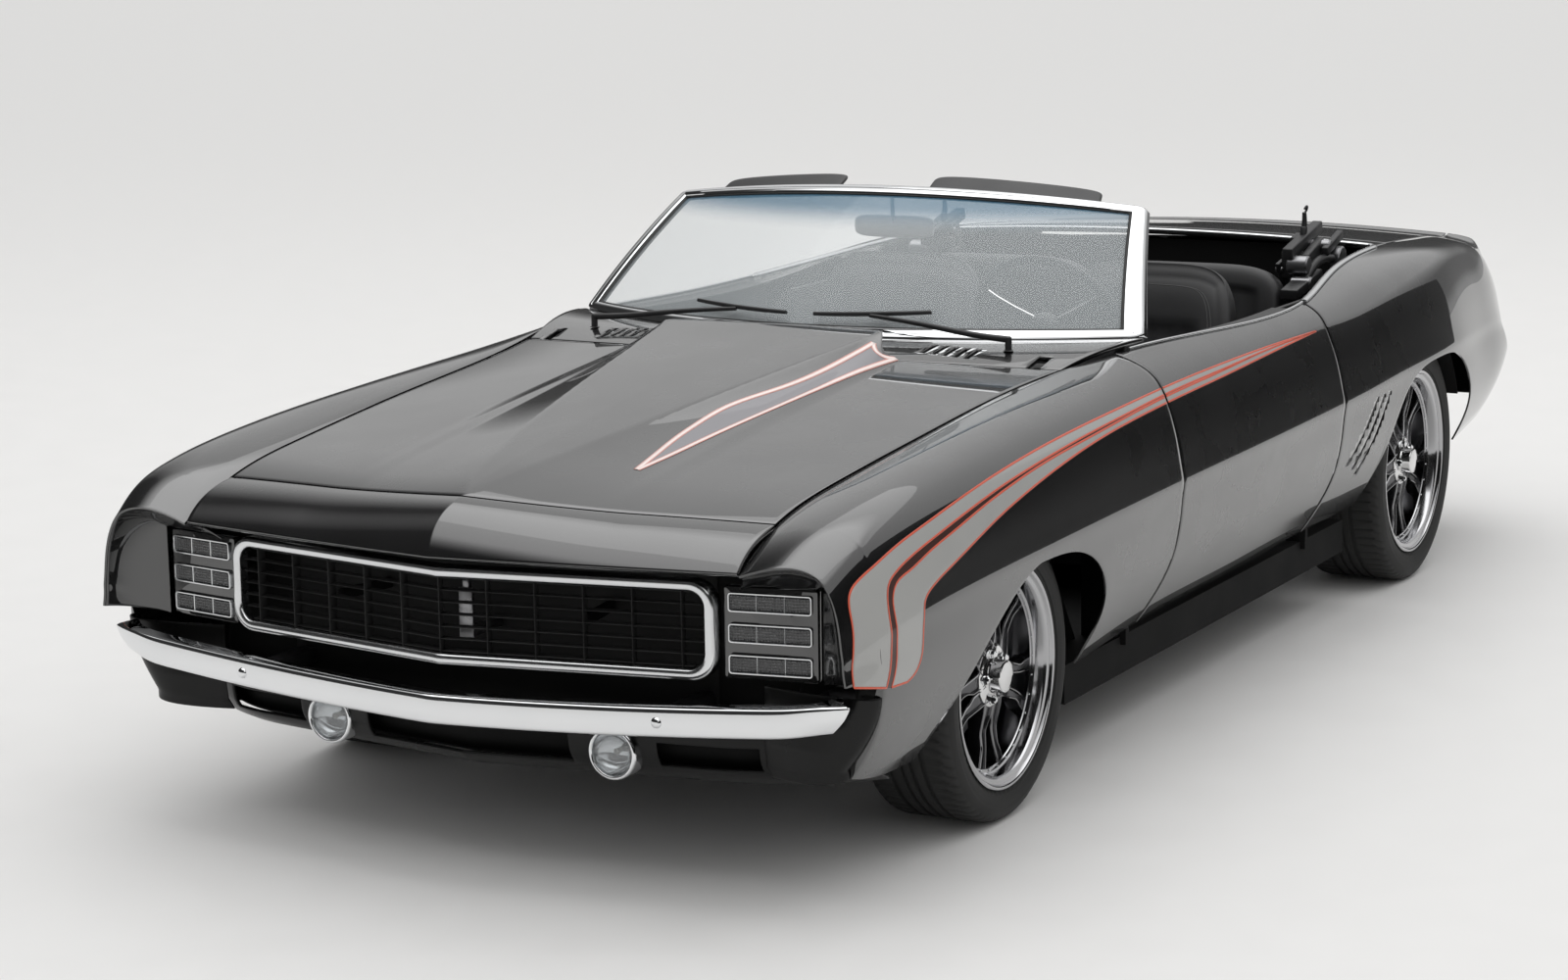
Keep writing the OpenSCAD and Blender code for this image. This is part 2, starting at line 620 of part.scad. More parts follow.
module floor_pan() {
    color("#202022") {
        sills();
        difference() {
            union() {
                bent_plate([[kick_x - 1, floor_z], [wall_x - 160, floor_z], [wall_x, 420]], floor_y);
                block([wall_x, -floor_y, 420], [wall_x + plate_t, floor_y, wall_top]);
                block([kick_x - 40, -tunnel_y, floor_z], [wall_x + 2, tunnel_y, tunnel_z]);
                bent_plate([[tail_skin(trunk_y, trunk_z) + fit, trunk_z], [rear_x - 400, trunk_z],
                    [rear_x - 280, hump_z], [kick_x - 60, hump_z], [kick_x, floor_z]], trunk_y);
            }
            tunnel_core();
        }
        let (y = trunk_y - 30) block([bulk_x, -y, hump_z],
            [bulk_x + wall_t, y, deck_top(bulk_x, y / (edge_pt(bulk_x)[0] - seam))[2] - deck_t - fit]);
        pair() {
            for (x = shackle_xs) block([x, spring_y, spring_z + fit],
                [x + 24, spring_y + spring_w, x > rear_x - 300 ? hump_z + 1 : trunk_z + 1]);
            difference() {
                translate([rear_x, trunk_y - 1, rear_tyre_r]) rotate([-90, 0, 0])
                    cylinder(h = half_w - trunk_y - 64, r = rear_tyre_r + 54);
                translate([rear_x, trunk_y + wall_t, rear_tyre_r]) rotate([-90, 0, 0])
                    cylinder(h = half_w, r = rear_tyre_r + 46);
                block([rear_x - 500, 500, -100], [rear_x + 500, half_w, hump_z]);
            }
            translate([wall_x + plate_t / 2, 300, wall_top - 5])
                cylinder(h = cowl_z(wall_x + plate_t / 2, 300) - cowl_t - wall_top + 4, r = 6);
        }
    }
}
// Cowl between hood and windshield
cowl_t = 12;
screen_ts = spread(-1, 1, 16);
screen_lean = 60;
screen_bend = 320;
screen_corner = hood_rear - screen_lean - screen_bend;
screen_foot_y = edge_pt(screen_corner)[0] - shut - 4;
screen_top_y = half_w - 290;
screen_foot_z = 924;
function screen_foot(t) = [hood_rear - screen_lean - screen_bend * t * t,
    screen_foot_y * t, screen_foot_z - 10 * t * t];
function screen_top(t) = [hood_rear - screen_lean - screen_rake - 105 * t * t,
    screen_top_y * t, header_z - 43 * t * t];
function screen(t, s) = mix(screen_foot(t), screen_top(t), s) + [11, 0, 8] * 4 * s * (1 - s);
cowl_lift = 14;
vent_y = 370;
vent_w = 16;
function cowl(t, s) = let (xe = mix(hood_rear - shut, screen_corner, s), y0 = t * (edge_pt(xe)[0] - shut))
    let (a = hood_tail(y0) - shut, f = screen_foot(t), e = edge_pt(hood_rear)[1])
    [mix(a, f[0] + 0.5, s), mix(y0, f[1], s * s),
     mix(e + hood_crown(0) * (1 - t * t), f[2] - 1, s) + cowl_lift * 4 * s * (1 - s) * t * t];
function cowl_z(x, y) = let (t = y / (half_w - 230), a = cowl(t, 0)[0])
    cowl(t, (a - x) / (a - cowl(t, 1)[0]))[2];
cowl_grid = [for (s = spread(1, 0, 5)) [for (t = screen_ts) cowl(t, s)]];
module cowl_panel() {
    color("#0b0b0d") {
        difference() {
            sheet(cowl_grid, lower(cowl_grid, [0, 0, cowl_t]));
            pair() strap_slot(hood_pin, 90);
            pair() for (i = [0:4])
                block([hood_rear - 70, vent_y + 28 * i, 0], [hood_rear + 10, vent_y + 28 * i + vent_w, header_z]);
        }
        pair() strap_ears(hood_pin, 24);
    }
}

// Windshield
glass_t = 6;
frame_rim = 0.07;
frame_side = 0.045;
function screen_grid(ts, ss, d) = [for (t = ts) [for (s = ss) screen(t, s) - d * [2, 0, 1] / 2]];
module screen_sheet(ts, ss, near, far) {
    sheet(screen_grid(ts, ss, near), screen_grid(ts, ss, far));
}
module windshield_glass() {
    color("#9fb7c4") screen_sheet(spread(frame_side - 0.998, 0.998 - frame_side, 16),
        spread(frame_rim + 0.0025, 0.9975 - frame_rim, 6), 8, 8 + glass_t);
}
module windshield_frame() {
    color("#dfe2e4") {
        screen_sheet(screen_ts, [1 - frame_rim, 1], 0, frame_t);
        screen_sheet(screen_ts, [0, frame_rim], 0, frame_t);
        screen_sheet([1 - frame_side, 1], spread(0, 1, 6), 0, frame_t);
        screen_sheet([-1, frame_side - 1], spread(0, 1, 6), 0, frame_t);
    }
}
wiper_ts = [-0.75, 0.75];
wiper_r = 8;
module wipers() {
    color("#141416") for (t = wiper_ts) let (p = cowl(t, 0.4) + [0, 0, 1.8]) {
        translate(p) cylinder(h = 34, r = wiper_r);
        rod(p + [0, 0, 28], screen(0.45 * t, 0.12) + [16, 0, 10], 5);
    }
}
module visors_and_mirror() {
    p = screen(0, 1);
    color("#2a2a2c") {
        for (v = [[-0.83, -0.25], [0.14, 0.81]])
            screen_sheet(spread(v[0], v[1], 6), [0.95, 1.02, 1.09], frame_t + 3 * fit, frame_t + 16);
        translate([p[0] - frame_t - 19, -110, 1098]) cube([16, 220, 56]);
        translate([p[0] - frame_t - 3.1, 0, 1108]) cylinder(h = p[2] - frame_t / 2 - 1110.1, r = 6);
    }
}

// Cabin
dash_x = hood_rear - 110;
wheel_c = [dash_x - 620, 365, 868];
module along_column(from) {
    translate(wheel_c) rotate([0, steer_tilt - 90, 0]) translate([0, 0, from]) children();
}
column_r = 34;
shaft_r = 11;
module dashboard() {
    color("#1c1c1e") {
        rotate([90, 0, 0]) translate([0, 0, 12 - floor_y]) linear_extrude(2 * floor_y - 24)
            polygon([[wall_x - fit, 680], [wall_x - fit, 842], [dash_x, 856], [dash_x - 120, 858],
                [dash_x - 190, 846],
                [dash_x - 220, 812], [dash_x - 200, 742], [dash_x - 150, 680]]);
        along_column(-480) cylinder(h = 420, r = column_r);
        along_column(-480) cylinder(h = 485, r = shaft_r);
    }
}
module steering_wheel() {
    color("#101012") along_column(0) difference() {
        union() {
            translate([0, 0, 20]) rotate_extrude() translate([steer_r, 0]) circle(13);
            translate([0, 0, -30]) cylinder(h = 50, r = 46);
            for (a = [60, 180, 300]) rotate([0, 0, a]) translate([20, -11, 6]) cube([steer_r - 26, 22, 10]);
        }
        translate([0, 0, -60]) cylinder(h = 70, r = shaft_r + run);
    }
}
module pad(l, w, h, r) {
    translate([l / 2, 0, 0]) linear_extrude(h) rounded(l, w, r);
}
seat_x = dash_x - 900;
module front_seats() {
    color("#1d1d1f") pair() translate([seat_x, seat_y, 0]) {
        block([-180, -seat_w / 2 + 60, floor_z + plate_t + fit], [240, seat_w / 2 - 60, 330]);
        translate([-220, 0, 300]) rotate([0, -6, 0]) pad(520, seat_w, 150, 60);
        translate([-200, 0, 370]) rotate([0, -106, 0]) pad(590, seat_w - 10, 110, 70);
    }
}
bench_x = rear_x + 440;
bench_t = 110;
bench_lean = 14;
module rear_seat() {
    color("#1d1d1f") {
        difference() {
            block([bench_x, 30 - trunk_y, floor_z + plate_t + fit], [bench_x + 360, trunk_y - 30, 470]);
            block([bench_x - 1, -tunnel_y - fit, 0], [bench_x + 400, tunnel_y + fit, tunnel_z + fit]);
        }
        translate([bench_x - 40, 0, hump_z + plate_t + 2 * fit + bench_t * sin(bench_lean)])
            rotate([0, -bench_lean, 0]) block([-bench_t, 20 - trunk_y, 0], [0, trunk_y - 20, 350]);
        block([bench_x - 140, 90 - trunk_y, hump_z + plate_t + fit], [bench_x - 40, trunk_y - 90, 560]);
        pair() block([bench_x, floor_y - 22, floor_z + plate_t + fit], [door_rear - 14, floor_y - 1, 850]);
    }
}
well_front = bench_x - 300;
well_rear = rear_x - 150;
link_y = trunk_y - 90;
link_t = 14;
module folded_top() {
    color("#111113") {
        block([well_rear + 6, 40 - trunk_y, hump_z + plate_t + fit], [well_front, trunk_y - 40, 720]);
        pair() for (k = [0, 1]) rotate([90, 0, 0])
            translate([0, 0, -link_y - link_t - 26 * k]) linear_extrude(link_t)
            polygon([[well_rear + 80, 690], [well_rear + 150, 690], [well_front + 20 - 50 * k, 900 + 70 * k],
                [well_front - 30 - 50 * k, 910 + 70 * k]]);
    }
}

// Rear deck, trunk lid and tail
deck_t = 12;
lid_t = 14;
deck_crown = 22;
function deck_top(x, t) = let (e = edge_pt(x)) [x, t * (e[0] - seam), e[1] + deck_crown * (1 - t * t)];
deck_ts = spread(-1, 1, 14);
deck_grid = [for (x = spread(lid_front + shut, well_rear, 3)) [for (t = deck_ts) deck_top(x, t)]];
lid_pin = [lid_front + 60, 420, deck_top(lid_front, 0.64)[2] - 18];
module deck_panel() {
    color("#0b0b0d") {
        difference() {
            sheet(deck_grid, lower(deck_grid, [0, 0, deck_t]));
            pair() strap_slot(lid_pin, -90);
        }
        pair() strap_ears(lid_pin, 10);
    }
}
function lid_top(x, t) = let (e = edge_pt(x))
    [x, t * (e[0] - shut), e[1] + deck_crown * (1 - t * t) + spoiler_h * pow(lip_share(x), 2)];
lid_grid = [for (x = spread(lid_rear, lid_front, 12)) [for (t = deck_ts) lid_top(x, t)]];
module trunk_lid() {
    color("#0b0b0d") {
        sheet(lid_grid, lower(lid_grid, [0, 0, lid_t]));
        pair() strap(lid_pin, -110, 8);
    }
}
tail_half = half_w - 186;
tail_top = 822;
tail_h = 430;
tail_t = 10;
function tail_out(y, z) =
    rear_x - 962 - 16 * (1 - pow(y / tail_half, 2)) + 30 * pow((tail_top - z) / tail_h, 2);
function tail_skin(y, z) = tail_out(y, z) + tail_t;
function tail_y(z) = let (p = cage(rear_x - 970)) curve(p, seek(p, z, 0.1))[0] - skin - 1.4 * seam;
function tail_pt(t, k) = let (z = tail_top - tail_h * k, y = t * tail_y(z))
    [tail_out(y, z), y, z + 20 * (1 - t * t) * (1 - k)];
tail_grid = [for (t = spread(-1, 1, 16)) [for (k = spread(0, 1, 6)) tail_pt(t, k)]];
module tail_panel() {
    color("#0b0b0d") sheet(tail_grid, lower(tail_grid, [-tail_t, 0, 0]));
}
tail_lamp_y = 250;
tail_lamp_w = 145;
tail_lamp_zs = [620, 720];
module tail_lamps() {
    color("#8e1216") pair() for (i = [0:2])
        let (y = tail_lamp_y + i * (tail_lamp_w + 10), x = tail_out(y, tail_lamp_zs[1]))
        block([x - 22, y, tail_lamp_zs[0]], [x, y + tail_lamp_w, tail_lamp_zs[1]]);
}

// Running gear
module engine() {
    color("#3a3c3e") {
        block([front_x - 280, -230, rail_z0 + fit], [front_x + 330, 230, 700]);
        rod([front_x - 270, 0, 285], [front_x - 900, 0, 285], 85);
    }
}
pipe_r = 25;
pipe_z = 140;
pipe_y = 300;
module exhaust() {
    color("#6d7073") pair() {
        rod([front_x - 200, pipe_y, pipe_z], [rear_x + 300, pipe_y, pipe_z], pipe_r);
        rod([rear_x + 301, pipe_y, pipe_z], [rear_x - 300, pipe_y, pipe_z], pipe_r);
        rod([rear_x - 299, pipe_y, pipe_z], [tail_x + 90, pipe_y + 120, 250], pipe_r);
        translate([rear_x - 299, pipe_y, pipe_z]) sphere(pipe_r);
        for (x = [front_x - 800, rear_x + 600])
            block([x, pipe_y - 10, pipe_z], [x + 20, pipe_y + 10, floor_z - fit]);
    }
}
kingpin_y = 685;
kingpin_r = 10;
arm_z = 235;
module front_suspension() {
    color("#2c2e30") {
        block([front_x - 70, -apron_y, 215], [front_x + 70, apron_y, rail_z0 - fit]);
        pair() {
            rod([front_x, apron_y - 60, arm_z], [front_x, kingpin_y - 5, arm_z], rail_z0 - arm_z - 2 * fit);
            translate([front_x, kingpin_y, arm_z - 20]) cylinder(h = 40, r = 20);
            translate([front_x, kingpin_y, arm_z - 20]) cylinder(h = 90, r = kingpin_r);
        }
    }
}
prop_gap = 1.3;
module rear_axle() {
    color("#2c2e30") {
        rod([rear_x, -600, rear_tyre_r], [rear_x, 600, rear_tyre_r], 38);
        rod([rear_x, -rear_track / 2 - 20, rear_tyre_r],
            [rear_x, rear_track / 2 + 20, rear_tyre_r], spindle_r);
        translate([rear_x, 0, rear_tyre_r]) sphere(115);
        rod([rear_x, 0, rear_tyre_r], [front_x - 900 - prop_gap, 0, 285], 30);
        pair() block([shackle_xs[0], spring_y, spring_z - 16],
            [shackle_xs[1] + 24, spring_y + spring_w, spring_z]);
    }
}
module knuckle() {
    difference() {
        union() {
            translate([front_x, kingpin_y, arm_z + 20 + fit]) cylinder(h = 130, r = 26);
            rod([front_x, kingpin_y, front_tyre_r], [front_x, front_track / 2 + 20, front_tyre_r], spindle_r);
            rod([front_x, kingpin_y - 20, front_tyre_r], [front_x, kingpin_y + 12, front_tyre_r], 58);
        }
        translate([front_x, kingpin_y, arm_z]) cylinder(h = 71, r = kingpin_r + run);
    }
}
module knuckle_left() {
    color("#3a3c3e") knuckle();
}
module knuckle_right() {
    color("#3a3c3e") mirror([0, 1, 0]) knuckle();
}

// Tyres and rims
bead = 14;
module tyre(r, w, rim_r) {
    h = w / 2;
    b = rim_r - bead;
    g = [[r, 34], [r - 7, 34], [r - 7, 44], [r, 44]];
    rotate([-90, 0, 0]) rotate_extrude() polygon(concat([[b, 25.5 - h],
        [rim_r + 4, 10 - h], [mix(rim_r, r, 0.45), -h],
        [r - 22, 4 - h], [r - 6, 14 - h], [r, 30 - h]], [for (i = [3:-1:0]) [g[i][0], -g[i][1]]], g,
        [[r, h - 30], [r - 6, h - 14], [r - 22, h - 4],
            [mix(rim_r, r, 0.45), h], [rim_r + 4, h - 10], [b, h - 25.5]]));
}
hub_r = 62;
cap_r = 35;
cap_out = 43;
module spoke_plan(r) {
    for (i = [0:spoke_count - 1]) rotate(i * 360 / spoke_count + 90) for (m = [-1, 1])
        polygon([[40, 0], [40, m * 44], [0.42 * r, m * 40], [r, m * 0.34 * r],
            [r, m * 0.16 * r], [0.5 * r, m * 10],
            [0.42 * r, 0]]);
    circle(hub_r);
}
module rim(r, w) {
    h = w / 2 - 6;
    b = r - bead - fit;
    f = h - spoke_dish;
    difference() {
        rotate([-90, 0, 0]) {
            rotate_extrude() polygon([[b - 12, -h], [r - 2, -h], [r - 2, 5 - h], [b, 19 - h],
                [b, h - 19], [r, h - 6], [r, h],
                [r - 8, h], [r - 26, h - 14], [r - 32, f + 8], [r - 30, f - 30], [b - 10, 30 - h]]);
            intersection() {
                translate([0, 0, -h]) linear_extrude(2 * h) spoke_plan(r - 27);
                rotate_extrude() polygon([[0, f - 34], [hub_r + 10, f - 34],
                    [r - 20, f - 26], [r - 20, f + 10],
                    [0.5 * r, f], [hub_r + 10, f + 12], [cap_r + 2, f + 13], [cap_r, f + cap_out],
                    [0, f + cap_out]]);
            }
            translate([0, 0, -34]) cylinder(h = f + 12, r = hub_r + 4);
        }
        rotate([-90, 0, 0]) translate([0, 0, -200]) cylinder(h = 222, r = spindle_r + run);
    }
}
module at_front(s) {
    translate([front_x, s * front_track / 2, front_tyre_r]) rotate([0, 0, s > 0 ? 0 : 180]) children();
}
module at_rear(s) {
    translate([rear_x, s * rear_track / 2, rear_tyre_r]) rotate([0, 0, s > 0 ? 0 : 180]) children();
}
module tyre_front_left() {
    color("#161616") at_front(1) tyre(front_tyre_r, front_tyre_w, front_rim_r);
}
module tyre_front_right() {
    color("#161616") at_front(-1) tyre(front_tyre_r, front_tyre_w, front_rim_r);
}
module tyre_rear_left() {
    color("#161616") at_rear(1) tyre(rear_tyre_r, rear_tyre_w, rear_rim_r);
}
module tyre_rear_right() {
    color("#161616") at_rear(-1) tyre(rear_tyre_r, rear_tyre_w, rear_rim_r);
}
module rim_front_left() {
    color("#cfd2d5") at_front(1) rim(front_rim_r, front_tyre_w);
}
module rim_front_right() {
    color("#cfd2d5") at_front(-1) rim(front_rim_r, front_tyre_w);
}
module rim_rear_left() {
    color("#cfd2d5") at_rear(1) rim(rear_rim_r, rear_tyre_w);
}
module rim_rear_right() {
    color("#cfd2d5") at_rear(-1) rim(rear_rim_r, rear_tyre_w);
}

floor_pan();
fender_left();
fender_right();
nose_panel();
engine_bay();
grille();
grille_surround();
headlamp_covers();
front_bumper();
front_valance();
parking_lamps();
cowl_panel();
windshield_frame();
windshield_glass();
wipers();
visors_and_mirror();
dashboard();
front_seats();
rear_seat();
folded_top();
quarter_left();
quarter_right();
deck_panel();
tail_panel();
tail_lamps();
rear_bumper();
engine();
exhaust();
front_suspension();
rear_axle();
hood();
trunk_lid();
door_left();
door_right();
steering_wheel();
knuckle_left();
knuckle_right();
tyre_front_left();
tyre_front_right();
tyre_rear_left();
tyre_rear_right();
rim_front_left();
rim_front_right();
rim_rear_left();
rim_rear_right();
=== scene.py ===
import json
import math

import bmesh
import bpy
import numpy as np
from bpy.props import FloatProperty, FloatVectorProperty, PointerProperty
from mathutils import Matrix, Vector

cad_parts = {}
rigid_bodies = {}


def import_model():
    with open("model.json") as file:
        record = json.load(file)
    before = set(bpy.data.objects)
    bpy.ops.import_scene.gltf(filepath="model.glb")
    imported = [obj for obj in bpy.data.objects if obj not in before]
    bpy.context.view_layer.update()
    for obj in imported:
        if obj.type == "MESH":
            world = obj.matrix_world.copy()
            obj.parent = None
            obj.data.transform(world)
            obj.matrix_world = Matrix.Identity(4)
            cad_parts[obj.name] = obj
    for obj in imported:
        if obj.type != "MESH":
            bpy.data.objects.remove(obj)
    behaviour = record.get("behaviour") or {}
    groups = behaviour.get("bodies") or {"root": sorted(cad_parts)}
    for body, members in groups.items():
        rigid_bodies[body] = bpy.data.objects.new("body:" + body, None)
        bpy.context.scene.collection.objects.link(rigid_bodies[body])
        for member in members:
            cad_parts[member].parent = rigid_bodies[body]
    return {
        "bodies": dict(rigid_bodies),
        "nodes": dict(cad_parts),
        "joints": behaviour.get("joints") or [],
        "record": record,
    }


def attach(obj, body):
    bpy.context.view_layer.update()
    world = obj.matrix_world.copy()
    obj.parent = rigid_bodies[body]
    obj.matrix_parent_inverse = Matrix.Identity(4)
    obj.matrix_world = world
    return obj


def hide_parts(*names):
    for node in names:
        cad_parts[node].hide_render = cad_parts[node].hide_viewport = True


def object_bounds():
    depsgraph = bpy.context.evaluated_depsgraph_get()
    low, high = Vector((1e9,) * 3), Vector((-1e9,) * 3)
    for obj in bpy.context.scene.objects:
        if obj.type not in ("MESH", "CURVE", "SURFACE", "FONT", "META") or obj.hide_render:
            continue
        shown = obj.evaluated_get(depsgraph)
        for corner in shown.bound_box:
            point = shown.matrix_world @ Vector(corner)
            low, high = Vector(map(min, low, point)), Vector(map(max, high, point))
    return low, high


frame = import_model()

bl_info = {
    "name": "Open muscle car",
    "version": (1, 0, 0),
    "blender": (4, 5, 0),
    "location": "View3D > Sidebar > Car",
    "description": "Dresses the jointed car in its paint, bright metal, glass, rubber and leather",
    "category": "Object",
}

CAD_BOX = [list(corner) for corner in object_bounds()]
JOINT_AT = {j["name"]: Vector(j["pos_m"]) for j in frame["joints"]}
FRONT_X = JOINT_AT["spin_front_left"].x
REAR_X = JOINT_AT["spin_rear_left"].x
TIP_X = CAD_BOX[1][0]
HALF_W = 0.94
SHUT = 0.008
SEAM = 0.004

# Body lines

# Columns: axle the place is measured from, place along the car, then inset from
# the half width and height of the top edge, the shoulder, the waist crease and
# the foot of the side, then the crown of the shoulder. Millimetres.
SIDE_LINES = [
    (REAR_X, -990, 290, 837, 178, 812, 124, 623, 146, 443, 6),
    (REAR_X, -887, 280, 868, 156, 840, 102, 634, 128, 402, 6),
    (REAR_X, -587, 262, 905, 120, 880, 60, 644, 102, 350, 6),
    (REAR_X, -287, 248, 922, 94, 900, 22, 650, 90, 318, 6),
    (REAR_X, 0, 236, 925, 78, 902, 3, 650, 92, 296, 6),
    (REAR_X, 313, 208, 915, 68, 884, 0, 642, 108, 284, 6),
    (REAR_X, 593, 160, 896, 64, 856, 0, 630, 120, 277, 6),
    (REAR_X, 803, 126, 883, 62, 838, 2, 622, 126, 274, 6),
    (FRONT_X, -1430, 122, 884, 62, 832, 2, 612, 128, 268, 6),
    (FRONT_X, -810, 180, 896, 62, 842, 2, 604, 126, 262, 8),
    (FRONT_X, -480, 236, 874, 56, 838, 1, 598, 116, 251, 14),
    (FRONT_X, 0, 256, 834, 50, 822, 0, 590, 102, 240, 20),
    (FRONT_X, 420, 268, 791, 46, 794, 6, 575, 94, 237, 25),
    (FRONT_X, 650, 272, 753, 52, 762, 18, 557, 92, 251, 28),
    (FRONT_X, 750, 273, 718, 62, 734, 30, 542, 96, 276, 28),
    (FRONT_X, 832, 273, 676, 82, 690, 46, 524, 104, 310, 24),
]
LINE_X = np.array([r[0] + r[1] / 1000 for r in SIDE_LINES])
LINE_V = np.array([r[2:] for r in SIDE_LINES]) / 1000
EDGE, SHOULDER, WAIST, FOOT, CROWN = 0, 2, 4, 6, 8


def spline_bends(x, y):
    """Second derivatives of the natural cubic spline through the rows of y."""
    n = len(x)
    a = np.zeros((n, n))
    b = np.zeros((n, y.shape[1]))
    a[0, 0] = a[-1, -1] = 1
    for i in range(1, n - 1):
        h0, h1 = x[i] - x[i - 1], x[i + 1] - x[i]
        a[i, i - 1:i + 2] = h0, 2 * (h0 + h1), h1
        b[i] = 6 * ((y[i + 1] - y[i]) / h1 - (y[i] - y[i - 1]) / h0)
    return np.linalg.solve(a, b)


LINE_BENDS = spline_bends(LINE_X, LINE_V)


def spline(at, values, x, bends=None):
    """Natural cubic spline through the rows of values."""
    at, x = np.asarray(at, float), np.asarray(x, float)
    bends = spline_bends(at, values) if bends is None else bends
    i = np.clip(np.searchsorted(at, x, side="right") - 1, 0, len(at) - 2)
    h = (at[i + 1] - at[i])[..., None]
    a = (at[i + 1] - x)[..., None] / h
    b = 1 - a
    return a * values[i] + b * values[i + 1] + ((a ** 3 - a) * bends[i] + (b ** 3 - b) * bends[i + 1]) * h * h / 6


def along(p):
    return np.concatenate([[0], np.cumsum(np.linalg.norm(np.diff(p, axis=0), axis=1))])


def even(points, count):
    """The path again with evenly spaced points."""
    p = np.asarray(points, float)
    d = along(p)
    s = np.linspace(0, d[-1], count)
    return np.stack([np.interp(s, d, p[:, k]) for k in range(p.shape[1])], -1)


def flowing(points, count):
    """Smooth path through the points."""
    p = np.asarray(points, float)
    d = along(p)
    return even(spline(d, p, np.linspace(0, d[-1], 8 * count)), count)


def lines(x):
    """All columns of the side lines at the places x."""
    return spline(LINE_X, LINE_V, x, LINE_BENDS)


def line_point(x, k):
    v = lines(x)
    return np.stack([HALF_W - v[..., k], v[..., k + 1]], -1)


def cage(x):
    """Control points of the side section, top edge to foot."""
    e, s, w, f = (line_point(x, k) for k in (EDGE, SHOULDER, WAIST, FOOT))
    c = lines(x)[..., CROWN]
    up = np.stack([0 * c, c], -1)
    mix = lambda p, q, t, out=0: p + (q - p) * t + np.array([out / 1000, 0])
    return np.stack([e, mix(e, s, 0.42) + up, mix(e, s, 0.84) + 0.6 * up, mix(s, w, 0.14), mix(s, w, 0.5, 8),
                     mix(s, w, 0.88), w, mix(w, f, 0.1, 4), mix(w, f, 0.38, 34), mix(w, f, 0.7, 38), f], -2)


def basis(t, count):
    """Clamped cubic B-spline weights."""
    spans = count - 3
    u = (np.clip(t, 0, 0.99999) * spans)[..., None]
    knots = np.clip(np.arange(count + 4) - 3, 0, spans).astype(float)
    b = ((u >= knots[:-1]) & (u < knots[1:])).astype(float)
    for k in range(1, 4):
        left, right = knots[k:-1] - knots[:-k - 1], knots[k + 1:] - knots[1:-k]
        p = np.where(left > 0, (u - knots[:-k - 1]) / np.where(left > 0, left, 1), 0)
        q = np.where(right > 0, (knots[k + 1:] - u) / np.where(right > 0, right, 1), 0)
        b = p * b[..., :-1] + q * b[..., 1:]
    return b


def section(x, t):
    """Points (y, z) of the side at places x (n) and section parameters t (n, m)."""
    return np.einsum("nmk,nkd->nmd", basis(t, 11), cage(x))


def seek(x, z, low=0.3):
    """Section parameter at which the side has the height z (n, m)."""
    a, b = np.full(z.shape, low), np.ones(z.shape)
    for _ in range(22):
        m = (a + b) / 2
        above = section(x, m)[..., 1] > z
        a, b = np.where(above, m, a), np.where(above, b, m)
    return (a + b) / 2


ARCH_HALF, ARCH_POWER, ARCH_FOOT = 0.42, 2.8, 0.23
NOSE_HALF, NOSE_POWER = 0.44, 1.45
FRONT_ARCH_Z, REAR_ARCH_Z = 0.570, 0.640
NOTCH_X, NOTCH_Z = FRONT_X + 0.716, 0.478


def arch(x, centre, top, half, power):
    d = np.clip(np.abs(x - centre) / half, 0, 1)
    b = (1 - d ** power) ** (1 / power)
    return np.where(b > 0, ARCH_FOOT + (top - ARCH_FOOT) * b, 0)


def hem(x):
    """Lower edge of the side panels with the wheel arches taken out."""
    front = np.where(x > FRONT_X, arch(x, FRONT_X, FRONT_ARCH_Z, NOSE_HALF, NOSE_POWER),
                     arch(x, FRONT_X, FRONT_ARCH_Z, ARCH_HALF, ARCH_POWER))
    rear = arch(x, REAR_X, REAR_ARCH_Z, ARCH_HALF, ARCH_POWER)
    notch = np.where(x > NOTCH_X, NOTCH_Z, 0)
    return np.max([line_point(x, FOOT)[..., 1], front, rear, notch], axis=0)


def side_grid(xs, rows, start=0.0, end=1.0):
    """Left side between shares of the section above the lower edge."""
    xs = np.asarray(xs, float)
    e = seek(xs, hem(xs)[:, None])
    t = e * np.linspace(start, end, rows)[None, :]
    yz = section(xs, t)
    return np.concatenate([np.repeat(xs[:, None, None], rows, 1), yz], -1)


def arch_stations(centre, half, power, count, sign):
    a = np.linspace(0, 90, count + 1)[1:]
    return centre + sign * half * np.sin(np.radians(a)) ** (2 / power)


# Mesh helpers

def mesh_object(name, verts, faces, material, smooth=True):
    mesh = bpy.data.meshes.new(name)
    mesh.from_pydata([tuple(map(float, v)) for v in verts], [], [tuple(map(int, f)) for f in faces])
    mesh.validate()
    mesh.polygons.foreach_set("use_smooth", [smooth] * len(mesh.polygons))
    mesh.materials.append(material)
    obj = bpy.data.objects.new(name, mesh)
    bpy.context.scene.collection.objects.link(obj)
    return obj


def settle(obj):
    """Turns the modifiers' result into the piece's own mesh."""
    bpy.context.view_layer.update()
    mesh = bpy.data.meshes.new_from_object(obj.evaluated_get(bpy.context.evaluated_depsgraph_get()))
    old = obj.data
    obj.modifiers.clear()
    obj.data = mesh
    bpy.data.meshes.remove(old)
    mesh.name = obj.name
    return obj


def bevelled(obj, width):
    b = obj.modifiers.new("edge", "BEVEL")
    b.width, b.segments, b.limit_method = width, 2, "ANGLE"
    b.angle_limit = math.radians(50)
    settle(obj)
    obj.data.polygons.foreach_set("use_smooth", [True] * len(obj.data.polygons))
    return obj


def grid_faces(n, m, keep=None):
    return [(a * m + b, (a + 1) * m + b, (a + 1) * m + b + 1, a * m + b + 1)
            for a in range(n - 1) for b in range(m - 1) if keep is None or keep[a][b]]


